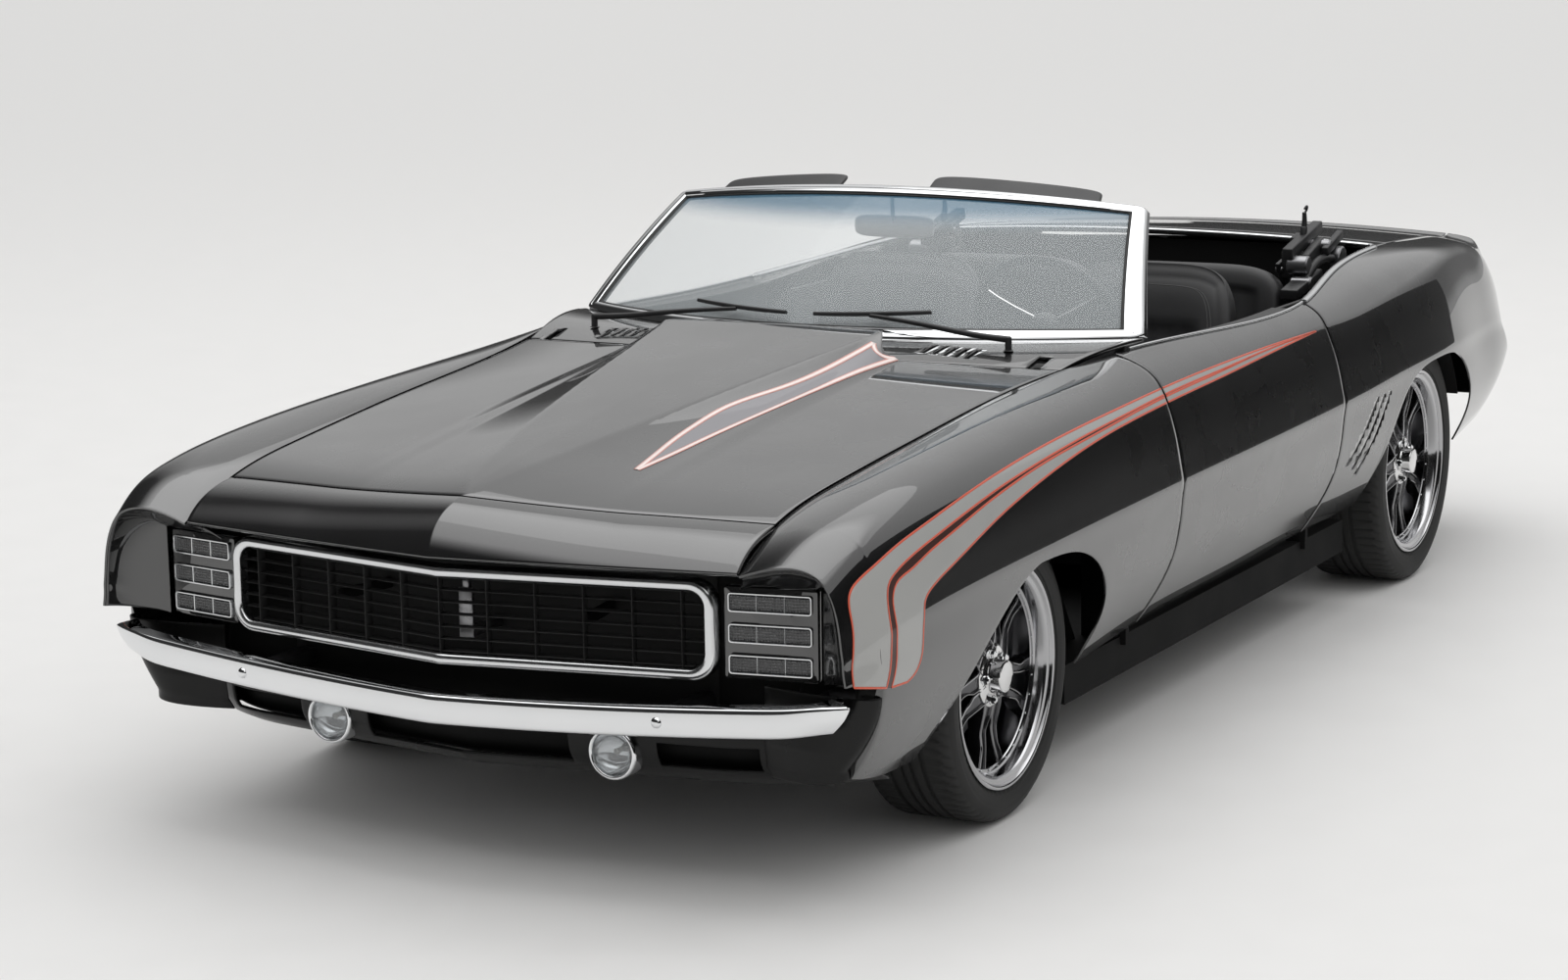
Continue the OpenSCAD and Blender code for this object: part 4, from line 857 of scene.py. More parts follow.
def cowl(t, s):
    t, s = np.broadcast_arrays(np.asarray(t, float), np.asarray(s, float))
    xe = HOOD_REAR - SHUT + (SCREEN_CORNER_X - HOOD_REAR + SHUT) * s
    y0 = t * (line_point(xe, EDGE)[..., 0] - SHUT)
    a = hood_tail(y0) - SHUT
    f = screen(t, np.zeros_like(t))
    e = line_point(np.full_like(t, HOOD_REAR), EDGE)[..., 1]
    z = e + 0.022 * (1 - t * t)
    z = z + (f[..., 2] - 0.001 - z) * s + 0.014 * 4 * s * (1 - s) * t * t
    return np.stack([a + (f[..., 0] + 0.0005 - a) * s, y0 + (f[..., 1] - y0) * s * s, z], -1)


LID_FRONT, LID_REAR, WELL_REAR = REAR_X - 0.262, REAR_X - 0.962, REAR_X - 0.150


def deck_top(x, t, inset, spoiler=0.0):
    x, t = np.broadcast_arrays(np.asarray(x, float), np.asarray(t, float))
    e = line_point(x, EDGE)
    d = np.maximum(0, (LID_REAR + LIP_RUN - x) / LIP_RUN)
    return np.stack([x, t * (e[..., 0] - inset), e[..., 1] + 0.022 * (1 - t * t) + spoiler * d * d], -1)


TAIL_HALF, TAIL_TOP, TAIL_H = HALF_W - 0.186, 0.822, 0.430


def tail_out(y, z):
    return REAR_X - 0.962 - 0.016 * (1 - (y / TAIL_HALF) ** 2) + 0.030 * ((TAIL_TOP - z) / TAIL_H) ** 2


def rows(a, b):
    return np.meshgrid(a, b, indexing="ij")


def make_hood_and_deck():
    """Hood, header panel, cowl, rear deck, trunk lid and tail panel."""
    half = np.concatenate([np.linspace(0, 0.36, 26)[:-1], np.linspace(0.36, 0.58, 34)[:-1], np.linspace(0.58, 1, 28)])
    ts = np.concatenate([-half[:0:-1], half])
    s, t = rows(np.linspace(0, 1, 110), ts)
    painted("hood_panel", hood_top(s, t), HOOD_T, "hood", body="hood")
    y, s = rows(np.concatenate([np.linspace(-HEADER_HALF + SEAM, -0.003, 60), [0],
                                np.linspace(0.003, HEADER_HALF - SEAM, 60)]),
                np.linspace(0, 1, 30))
    painted("header_panel", nose_point(y, s), NOSE_T, "nose_panel")
    s, t = rows(np.linspace(1, 0, 30), np.linspace(-1, 1, 90))
    top = painted("cowl_top", cowl(t, s), 0.012, "cowl_panel")
    vents = [box_part((HOOD_REAR - 0.070, y - 0.008, 0.8), (HOOD_REAR + 0.010, y + 0.008, 1.1))
             for i in range(5) for y in (0.378 + 0.028 * i, -0.378 - 0.028 * i)]
    pin = hood_top(0.0, 0.95)[2] - 0.018
    for m in (1, -1):
        y = sorted((m * 0.636, m * 0.668))
        vents.append(box_part((HOOD_REAR - 0.080, y[0], pin - 0.002), (HOOD_REAR + 0.030, y[1], 1.1)))
    carve(top, joined(vents))
    x, t = rows(np.linspace(LID_FRONT + SHUT, WELL_REAR, 16), np.linspace(-1, 1, 80))
    painted("rear_deck", deck_top(x, t, SEAM), 0.012, "deck_panel")
    x, t = rows(np.linspace(LID_REAR, LID_FRONT, 70), np.linspace(-1, 1, 80))
    painted("trunk_lid_panel", deck_top(x, t, SHUT, LIP_H), 0.014, "trunk_lid", body="trunk_lid")
    t, k = rows(np.linspace(-1, 1, 80), np.linspace(0, 1, 40))
    z = TAIL_TOP - TAIL_H * k
    at = np.array([REAR_X - 0.970])
    y = t * (section(at, seek(at, z[0][None], 0.1))[0, :, 0] - SKIN - 1.4 * SEAM)
    grid = np.stack([tail_out(y, z), y, z + 0.020 * (1 - t * t) * (1 - k)], -1)
    painted("tail_board", grid, 0.010, "tail_panel")


# Wheels

WHEELS = {"front": (0.314, 0.225, 0.243), "rear": (0.338, 0.255, 0.258)}
DISH, SPOKES = 0.048, 5


def tyre_part(r, w, rim, centre, side):
    h, mix = w / 2, lambda k: rim + (r - rim) * k
    half = [(rim - 0.014, h - 0.0255), (rim - 0.004, h - 0.016), (rim + 0.004, h - 0.010), (rim + 0.010, h - 0.0075),
            (rim + 0.011, h - 0.0045), (mix(0.28), h - 0.0020), (mix(0.36), h - 0.0006), (mix(0.45), h),
            (mix(0.53), h - 0.0004),
            (mix(0.56), h + 0.0002), (mix(0.60), h - 0.0008), (mix(0.7), h - 0.0026), (r - 0.017, h - 0.0058),
            (r - 0.0135, h - 0.0085), (r - 0.0095, h - 0.0100), (r - 0.0055, h - 0.0150), (r - 0.0022, h - 0.022),
            (r - 0.0004, h - 0.030)]
    tread = []
    for y, depth in ((h - 0.034, 0), (0.0465, 0), (0.0445, 0.0065), (0.0355, 0.0065), (0.0335, 0), (0.017, 0),
                     (0.015, 0.0065),
                     (0.008, 0.0065), (0.006, 0)):
        tread.append((r - depth, y))
    profile = half + tread + [(a, -y) for a, y in (half + tread)[::-1]]

    def sipes(a, y):
        cut = ((a * 36 / np.pi + 34 * np.abs(y)) % 1 < 0.17) & (np.abs(y) > 0.05) & (np.abs(y) < h - 0.009)
        return np.where(cut, -0.0045, 0.0)

    return lathe(profile, 432, centre, side, sipes)


def rim_part(r, w, centre, side):
    h = w / 2 - 0.006
    b, f = r - 0.0143, h - DISH
    return lathe([(b - 0.012, -h), (r - 0.002, -h), (r - 0.002, 0.005 - h), (b, 0.019 - h), (b, h - 0.019),
                  (r - 0.002, h - 0.008),
                  (r, h - 0.006), (r, h - 0.001), (r - 0.001, h), (r - 0.005, h), (r - 0.008, h - 0.0015),
                  (r - 0.010, h - 0.005),
                  (r - 0.0125, h - 0.0075), (r - 0.022, h - 0.0095), (r - 0.0245, h - 0.012), (r - 0.0265, h - 0.017),
                  (r - 0.0305, f + 0.014), (r - 0.034, f + 0.0105), (r - 0.0405, f + 0.0095), (r - 0.042, f + 0.007),
                  (r - 0.040, f - 0.030), (b - 0.010, 0.030 - h)], 192, centre, side)


def spoke_arm(r, f, angle, m):
    """One of a spoke's two arms, with its raised edges and sunk face."""
    e = np.array([math.cos(angle), 0, math.sin(angle)])
    t = np.array([-math.sin(angle), 0, math.cos(angle)])
    end = r - 0.027
    reach = np.concatenate([np.linspace(0.044, 0.42 * end, 8), np.linspace(0.47 * end, end - 0.008, 14)])
    plan = np.array([(0.04, 0.022, 0.022), (0.30 * end, 0.0205, 0.0205), (0.42 * end, 0.021, 0.0195),
                     (0.5 * end, 0.026, 0.0145),
                     (0.72 * end, 0.135 * end, 0.052 * end), (end, 0.25 * end, 0.086 * end)])
    front = np.array([(0.04, 0.014), (0.072, 0.011), (0.5 * r, 0.000), (r - 0.02, 0.010)])
    sections = []
    for p in reach:
        c, w = (np.interp(p, plan[:, 0], plan[:, k]) for k in (1, 2))
        a1 = f + np.interp(p, front[:, 0], front[:, 1])
        a0 = f - 0.030
        s = [(-w, a0), (-w, a1 - 0.005), (-w + 0.0008, a1 - 0.0015), (-w + 0.002, a1), (-w + 0.0042, a1),
             (-w + 0.0062, a1 - 0.0055),
             (w - 0.0062, a1 - 0.0055), (w - 0.0042, a1), (w - 0.002, a1), (w - 0.0008, a1 - 0.0015), (w, a1 - 0.005),
             (w, a0)]
        sections.append([p * e + (m * c + m * u) * t + np.array([0, a, 0]) for u, a in s])
    verts, faces = loft(sections)
    tones = [0 if j in (1, 2, 3, 7, 8, 9) else 1 for _ in range(len(sections) - 1) for j in range(12)] + [1, 1]
    return verts, faces, tones


def make_wheels():
    """Tyres, split-spoke rims, hub caps, nuts and brake discs."""
    for end, (r, w, rim) in WHEELS.items():
        h = w / 2 - 0.006
        f = h - DISH
        for side, mirror in SIDES:
            s = -1 if mirror else 1
            body = f"wheel_{end}_{side}"
            at = np.array(JOINT_AT[f"spin_{end}_{side}"])
            at[1] = s * (0.750 if end == "front" else 0.745)
            flip = np.array([s, s, 1])
            made(f"tread_{end}_{side}", tyre_part(r, w, rim, at, s), M["rubber"], angle=40, body=body, slot="tyre",
                 nodes=[f"tyre_{end}_{side}"])
            made(f"barrel_{end}_{side}", rim_part(rim, w, at, s), M["barrel"], angle=30, body=body,
                 slot="wheel_alloy",
                 nodes=[f"rim_{end}_{side}"])
            arms = [spoke_arm(rim, f, math.radians(72 * i - 90), m) for i in range(SPOKES) for m in (-1, 1)]
            verts, faces = joined([(v, q) for v, q, _ in arms])
            obj = mesh_object(f"spokes_{end}_{side}", verts * flip + at, faces, M["spoke"])
            obj.data.materials.append(M["machined"])
            obj.data.polygons.foreach_set("material_index", [k for *_, tones in arms for k in tones])
            on_body(crisp(outward(obj), 28), body, "wheel_alloy")
            axis = (0, s, 0)
            cap = [(0, f - 0.034), (0.060, f - 0.034), (0.068, f - 0.030), (0.070, f + 0.004), (0.068, f + 0.010),
                   (0.063, f + 0.0125),
                   (0.042, f + 0.0125), (0.038, f + 0.0145), (0.0355, f + 0.019), (0.035, f + 0.040),
                   (0.0338, f + 0.0425),
                   (0.031, f + 0.0432), (0.030, f + 0.0424), (0.016, f + 0.0446), (0, f + 0.0455)]
            made(f"hub_cap_{end}_{side}", turned(cap, 96, at, axis), M["polished"], angle=30, body=body,
                 slot="wheel_alloy")
            nut = [(0, f + 0.027), (0.005, f + 0.027), (0.0085, f + 0.024), (0.0088, f + 0.016), (0.0105, f + 0.0145),
                   (0.0105, f + 0.011),
                   (0, f + 0.011)]
            nut_part = turned(nut, 6, (0.052, 0, 0), axis)
            repeated(f"lug_nuts_{end}_{side}", nut_part, M["chrome"], 5, at, turn=(0, 2 * math.pi / 5, 0), body=body,
                     slot="chrome")
            bolt = [(0, f + 0.0128), (0.0014, f + 0.0126), (0.0022, f + 0.0112), (0.0022, f + 0.0075),
                    (0, f + 0.0075)]
            bolt_part = turned(bolt, 8, (rim - 0.0372, 0, 0), axis)
            repeated(f"lip_bolts_{end}_{side}", bolt_part, M["chrome"], 30, at, turn=(0, 2 * math.pi / 30, 0),
                     body=body,
                     slot="chrome")
            disc = [(0.066, -0.034), (0.072, -0.036), (0.146, -0.036), (0.150, -0.034), (0.150, -0.017),
                    (0.146, -0.015), (0.080, -0.015),
                    (0.078, -0.008), (0.066, -0.006)]
            made(f"brake_disc_{end}_{side}", turned(disc, 96, at, axis), M["steel"], angle=30, body=body,
                 slot="bare_steel")


# Front end

FACE_X, FACE_SLOPE = TIP_X - 0.046, 0.17
FACE_TURN = math.atan(FACE_SLOPE)
GRILLE_HALF, GRILLE_Z, GRILLE_H, SURROUND_T = 0.585, 0.549, 0.204, 0.024
COVER_Y, COVER_Z, COVER_BACK = (0.606, 0.800), (0.452, 0.638), 0.024


def face(a, b, z):
    """Place on the swept face of the grille: ahead of it, along it from the middle, height."""
    a, b, z = np.broadcast_arrays(*(np.asarray(v, float) for v in (a, b, z)))
    c, s = math.cos(FACE_TURN), math.sin(FACE_TURN)
    return np.stack([FACE_X + a * c - b * s, a * s + b * c, z], -1)


def bar_part(p, q, out, half, depth):
    """Thin bar between two points with a rounded front, reaching back from the line."""
    p, q, out = (np.asarray(v, float) for v in (p, q, out))
    wide = np.cross(q - p, out)
    wide = wide / np.linalg.norm(wide) * half
    lip = [(-1, -depth), (-1, -0.0016), (-0.5, -0.0004), (0, 0), (0.5, -0.0004), (1, -0.0016), (1, -depth)]
    return loft([[e + k * wide + d * out for k, d in lip] for e in (p, q)])


def ring_part(hw, hh, radius, width, profile, place, middle=24):
    """Rounded frame: profile rows are shares across the width and places ahead; place maps (ahead, u, v)."""
    grid = []
    for k, ahead in profile:
        o = outline(hw - k * width, hh - k * width, max(radius - k * width * 0.8, 0.001), middle)
        grid.append(place(ahead, o[:, 0], o[:, 1]))
    return donut(np.stack(grid, 1))


CROWNED = [(0, -0.030), (0, -0.010), (0.06, -0.0045), (0.22, -0.0010), (0.5, 0), (0.78, -0.0010), (0.94, -0.0045),
           (1, -0.010), (1, -0.030)]


def make_grille():
    """Grille bars, their bright surround and what shows behind."""
    def on_bore(a, u, v):
        return np.stack([FACE_X - FACE_SLOPE * np.abs(u) + a, u, GRILLE_Z + v], -1)
    made("grille_frame", ring_part(GRILLE_HALF, GRILLE_H / 2, 0.052, SURROUND_T, CROWNED, on_bore, 96), M["bright"],
         angle=40,
         slot="bright_trim", nodes=["grille_surround"])
    top = GRILLE_H / 2 - SURROUND_T - 0.0003
    pitch = (GRILLE_HALF - SURROUND_T) / 5.4
    rise = (2 * top - 0.005) / 6
    c, s = math.cos(FACE_TURN), math.sin(FACE_TURN)
    ahead = np.array([c, s, 0])
    for side, m in (("left", 1), ("right", -1)):
        flip = np.array([1, m, 1])
        a0 = face(-0.010, 0.0025, GRILLE_Z - top) * flip
        a1 = face(-0.010, 0.0025, GRILLE_Z + top) * flip
        step = np.array([-s, c, 0]) * pitch * flip
        repeated(f"grille_uprights_{side}", bar_part(a0, a1, ahead * flip, 0.0011, 0.022), M["wire"],
                 6 if m > 0 else 5,
                 (0, 0, 0) if m > 0 else step, step, nodes=["grille"] if m > 0 else ())
        z0 = GRILLE_Z - top + 0.0025
        b0, b1 = face(-0.014, 0.002, z0 + rise) * flip, face(-0.014, 0.566, z0 + rise) * flip
        repeated(f"grille_levels_{side}", bar_part(b0, b1, ahead * flip, 0.0011, 0.022), M["wire"], 5, (0, 0, 0),
                 (0, 0, rise))
        b0, b1 = face(-0.014, 0.002, z0) * flip, face(-0.014, 0.545, z0) * flip
        repeated(f"grille_ends_{side}", bar_part(b0, b1, ahead * flip, 0.0011, 0.022), M["wire"], 2, (0, 0, 0),
                 (0, 0, 6 * rise))
    latch = [box_part((2.196, -0.019, 0.474), (2.206, 0.015, 0.586)),
             box_part((2.190, -0.010, 0.582), (2.204, 0.006, 0.602)),
             box_part((2.083, -0.014, 0.480), (2.198, 0.010, 0.500))]
    made("hood_latch_post", joined(latch), M["brushed"], bevel=0.003, slot="bare_steel")
    core = np.stack([np.full((40, 12), 2.0845), *rows(np.linspace(-0.52, 0.52, 40), np.linspace(0.33, 0.66, 12))], -1)
    on_body(shell("radiator_core", core, 0.004, M["pit"]), "chassis", "dark_trim")


def make_lamp_covers():
    """Covers over the headlamps, their framed glass bars and the coves beside them."""
    for side, m in (("left", 1), ("right", -1)):
        flip = np.array([1, m, 1])
        ahead = face(1, 0, 0) * flip - face(0, 0, 0) * flip
        mid, half = sum(COVER_Y) / 2, (COVER_Y[1] - COVER_Y[0]) / 2
        plate = []
        for k, a in ((0.03, -0.046), (0, -0.043), (0, -0.027), (0.012, -0.0246), (0.03, -0.024)):
            o = outline(half - 0.1 * k, 0.093 - 0.1 * k, 0.006)
            plate.append(face(a, mid + o[:, 0], 0.545 + o[:, 1]) * flip)
        made(f"lamp_cover_{side}", loft(plate), M["paint"], angle=40, slot="body_paint",
             nodes=["headlamp_covers"] if m > 0 else ())
        frames, panes, posts = [], [], []
        for z in (0.607, 0.545, 0.483):
            frames.append(ring_part(half - 0.010, 0.020, 0.007, 0.0042,
                                    [(0, -0.026), (0, -0.018), (0.25, -0.0162), (0.75, -0.0162),
                          (1, -0.018), (1, -0.026)], lambda a, u, v: face(a, mid + u, z + v) * flip))
            u, v = rows(np.linspace(-half + 0.0145, half - 0.0145, 133), np.linspace(0.0155, -0.0155, 21))
            wave = 0.0008 * np.cos(2 * np.pi * (u + half) / 0.0065) - 0.0009 * (np.abs(v / 0.0155) ** 6)
            grid = face(-0.0208 + wave, mid + u, z + v) * flip
            panes.append(slab(grid, face(-0.0242 + 0 * u, mid + u, z + v) * flip))
            for b in (-0.028, 0.030):
                posts.append(bar_part(face(-0.0175, mid + b, z - 0.016) * flip,
                                      face(-0.0175, mid + b, z + 0.016) * flip,
                                      ahead, 0.0013, 0.006))
            for v in np.linspace(-0.0118, 0.0118, 5):
                posts.append(bar_part(face(-0.0185, mid - half + 0.0145, z + v) * flip,
                                      face(-0.0185, mid + half - 0.0145, z + v) * flip, ahead, 0.0006, 0.003))
        made(f"lamp_bar_frames_{side}", joined(frames + posts), M["bright"], angle=40, slot="bright_trim")
        made(f"lamp_bar_glass_{side}", joined(panes), M["ribbed"], angle=60, slot="lamp_glass")
    x = np.full(1, FENDER_FRONT - 0.003)
    t = seek(x, np.full((1, 1), NOTCH_Z))[0, 0] * np.linspace(0, 1, 61)[None]
    o = section(x, t)[0]
    tangent = np.gradient(o, axis=0)
    normal = np.stack([-tangent[:, 1], tangent[:, 0]], -1)
    o = o - (SKIN + 0.001) * normal / np.linalg.norm(normal, axis=1, keepdims=True) * np.sign(normal[30, 0])
    y = np.minimum(o[:, 0] - 0.040, COVER_Y[1] - 0.004)
    z = np.clip(o[:, 1] - 0.040, COVER_Z[0], COVER_Z[1] + 0.004)
    a = np.stack([FACE_X - FACE_SLOPE * y - 0.020, y, z], -1)
    b = np.stack([np.full_like(y, x[0]), o[:, 0], o[:, 1]], -1)
    mid = a + (b - a) * np.array([0.35, 0.7, 0.7])
    s = np.linspace(0, 1, 21)[None, :, None]
    a, b, mid = a[:, None], b[:, None], mid[:, None]
    grid = bent(a, mid, b, s)
    for side, mirror in SIDES:
        painted(f"lamp_cove_{side}", grid, 0.004, mirror=mirror, edge=SIDE_EDGE)


BUMPER_H = 0.068


def blade(half, z, rise, slope, wrap, start, wing, ys, qs):
    y, q = rows(ys, qs)
    turn = wrap * (np.maximum(0, np.abs(y) - start) / (half - start)) ** 2.2
    soft = np.sqrt(y * y + 0.012 ** 2) - 0.012
    x = TIP_X - slope * soft - turn - 0.028 * np.abs(2 * q) ** 14 - 0.0035 * (2 * q) ** 2
    kick = np.where(q > 0, 0.25 * wing * smoothstep((np.abs(y) - half + 0.16) / 0.14) * smoothstep(q / 0.3), 0)
    end = 1 - 0.055 * (0.5 - q) ** 1.6 * smoothstep((np.abs(y) / half - 0.80) / 0.20)
    end = end - 0.040 * np.clip((q - 0.30) / 0.20, 0, 1) ** 2 * smoothstep((np.abs(y) / half - 0.90) / 0.10)
    return np.stack([x, y * end, z + rise * (y / half) ** 2 + q * BUMPER_H + kick], -1)


def make_bumpers():
    """Bright bumper blades, front and rear."""
    a = np.linspace(-90, 90, 61)
    qs = 0.5 * np.sin(np.radians(a))
    spread = lambda half: half * np.concatenate([-np.linspace(1, 0.86, 40)[:-1], np.linspace(-0.86, 0.86, 121),
                                                 np.linspace(0.86, 1, 40)[1:]])
    half = HALF_W - 0.048
    on_body(shell("front_bumper_blade", blade(half, 0.366, 0.038, 0.12, 0.024, half - 0.132, 0.014, spread(half), qs),
                  0.006,
                  M["chrome"], edge=0.002), "chassis", "chrome", "front_bumper")
    half = HALF_W - 0.100
    grid = blade(half, 0.470, 0, 0.015, 0.110, half - 0.064, 0, spread(half), qs) * np.array([-1, -1, 1])
    on_body(shell("rear_bumper_blade", grid, 0.006, M["chrome"], edge=0.002), "chassis", "chrome", "rear_bumper")
    arm = [box_part((2.0805, 0.47, 0.357), (2.296, 0.51, 0.39)), box_part((-2.345, 0.47, 0.45), (-2.272, 0.51, 0.49))]
    made("bumper_brackets", both(joined(arm)), M["satin"], bevel=0.003, slot="running_gear")
    bolt = turned([(0, 0.006), (0.006, 0.0055), (0.010, 0.003), (0.0115, 0), (0.0115, -0.006), (0, -0.006)], 20,
                  (0, 0, 0), (1, 0, 0))
    repeated("front_bumper_bolts", bolt, M["chrome"], 2, (TIP_X - 0.12 * 0.5 + 0.001, -0.5, 0.378), (0, 1.0, 0),
             slot="chrome")


VAL_X, VAL_HALF, LAMP_Y, LAMP_Z, LAMP_R = TIP_X - 0.104, HALF_W - 0.114, 0.345, 0.278, 0.055
VAL_ROWS = np.array([(0.212, -0.090), (0.230, -0.034), (0.270, -0.004), (0.316, 0.004), (0.352, 0.0)])


def val_at(y):
    return VAL_X - 0.15 * np.abs(y) - 0.120 * (np.maximum(0, np.abs(y) - VAL_HALF + 0.266) / 0.270) ** 2


def make_valance():
    """Valance with its air slots, and a near-black sheet behind them as painted shade."""
    cut = [0, 0.245, LAMP_Y - 0.052, LAMP_Y + 0.052, LAMP_Y + 0.09, LAMP_Y + 0.30, VAL_HALF]
    ys = stepped(cut, 0.006, 4)
    ys = np.concatenate([-ys[:0:-1], ys])
    level = [0.212, 0.228, 0.246, 0.252, 0.304, 0.312, 0.352]
    zs = stepped(level, 0.005, 3)
    y, z = rows(ys, zs)
    back = np.interp(z, VAL_ROWS[:, 0], VAL_ROWS[:, 1])
    back = 0.5 * back + 0.25 * (np.interp(z - 0.012, VAL_ROWS[:, 0], VAL_ROWS[:, 1])
                                + np.interp(z + 0.012, VAL_ROWS[:, 0], VAL_ROWS[:, 1]))
    grid = np.stack([val_at(y) + back, y, z], -1)
    my, mz = (ys[1:] + ys[:-1]) / 2, (zs[1:] + zs[:-1]) / 2
    my, mz = rows(np.abs(my), mz)
    hole = (my < 0.245) & (mz > 0.246) & (mz < 0.312)
    hole |= (my > LAMP_Y + 0.09) & (my < LAMP_Y + 0.30) & (mz > 0.252) & (mz < 0.304)
    hole |= np.hypot(my - LAMP_Y, mz - LAMP_Z) < 0.050
    painted("valance_panel", grid, 0.008, "front_valance", key="lower", keep=~hole)
    # Near-black sheet behind the slots: painted shade where the slots open into the dark.
    inner = (zs > 0.236) & (zs < 0.340)
    on_body(shell("valance_backing", grid[:, inner] - (0.045, 0, 0), 0.003, M["under"], edge=0), "chassis",
            "dark_trim")


def make_valance_corners():
    """Panels that close the valance to the fenders below the bumper's ends."""
    at = np.array([NOTCH_X - 0.002])
    zs = np.linspace(0.244, 0.436, 40)
    y = section(at, seek(at, zs[None]))[0, :, 0]
    a = np.stack([np.full(40, at[0]), y - 0.001, zs], -1)[:, None]
    mid = np.stack([np.full(40, at[0] + 0.075), y - 0.010, zs], -1)[:, None]
    b = np.stack([val_at(0.66) + 0.010 + np.interp(zs, VAL_ROWS[:, 0], VAL_ROWS[:, 1]), np.full(40, 0.66), zs], -1)[:,
        None]
    k = np.linspace(0, 1, 25)[None, :, None]
    grid = bent(a, mid, b, k)
    grid[..., 2] += 0.022 * ((zs[-1] - zs) / (zs[-1] - zs[0]))[:, None] * (1 - k[..., 0])
    for side, mirror in SIDES:
        painted(f"valance_corner_{side}", grid, 0.004, key="lower", mirror=mirror, edge=0.001)


def make_parking_lamps():
    """Round lamps in the valance."""
    lip, bowl, glass, bulb = [], [], [], []
    for m in (1, -1):
        at = (val_at(LAMP_Y), m * LAMP_Y, LAMP_Z)
        out = (1, 0, 0)
        lip.append(turned([(0.0552, -0.030), (0.0552, 0.006), (0.0545, 0.0105), (0.0525, 0.0132), (0.050, 0.014),
                           (0.0475, 0.0130),
                           (0.0462, 0.0105), (0.0462, 0.002), (0.047, -0.030)], 96, at, out))
        bowl.append(turned([(0, -0.026), (0.012, -0.0255), (0.028, -0.021), (0.040, -0.011), (0.0460, 0.001),
                            (0.0468, 0.001), (0.041, -0.013),
                            (0.029, -0.0235), (0.012, -0.028), (0, -0.0285)], 72, at, out))
        glass.append(turned([(0, 0.0112), (0.012, 0.0110), (0.026, 0.0098), (0.038, 0.0072), (0.0461, 0.0035),
                             (0.0461, 0.0010), (0.038, 0.0045),
                             (0.026, 0.0072), (0.012, 0.0085), (0, 0.0087)], 72, at, out))
        bulb.append(turned([(0, -0.0045), (0.004, -0.0055), (0.0065, -0.009), (0.0065, -0.015), (0.005, -0.019),
                            (0.005, -0.026), (0, -0.026)],
                           32, at, out))
    made("parking_lamp_rings", joined(lip), M["chrome"], angle=50, slot="chrome", nodes=["parking_lamps"])
    made("parking_lamp_bowls", joined(bowl), M["mirror"], angle=60, slot="chrome")
    made("parking_lamp_lenses", joined(glass), M["lens"], angle=60, slot="lamp_glass")
    made("parking_lamp_bulbs", joined(bulb), M["bulb"], angle=60, slot="lamp_glass")


# Windshield

BACKWARD = np.array([1, 0, 0.5])


def on_screen(ahead, u, v):
    """Place on the windshield: ahead of its surface, across and up from its middle, in metres."""
    ahead, u, v = np.broadcast_arrays(*(np.asarray(a, float) for a in (ahead, u, v)))
    return screen(u / 0.72, 0.5 + v / 0.605) + ahead[..., None] * BACKWARD


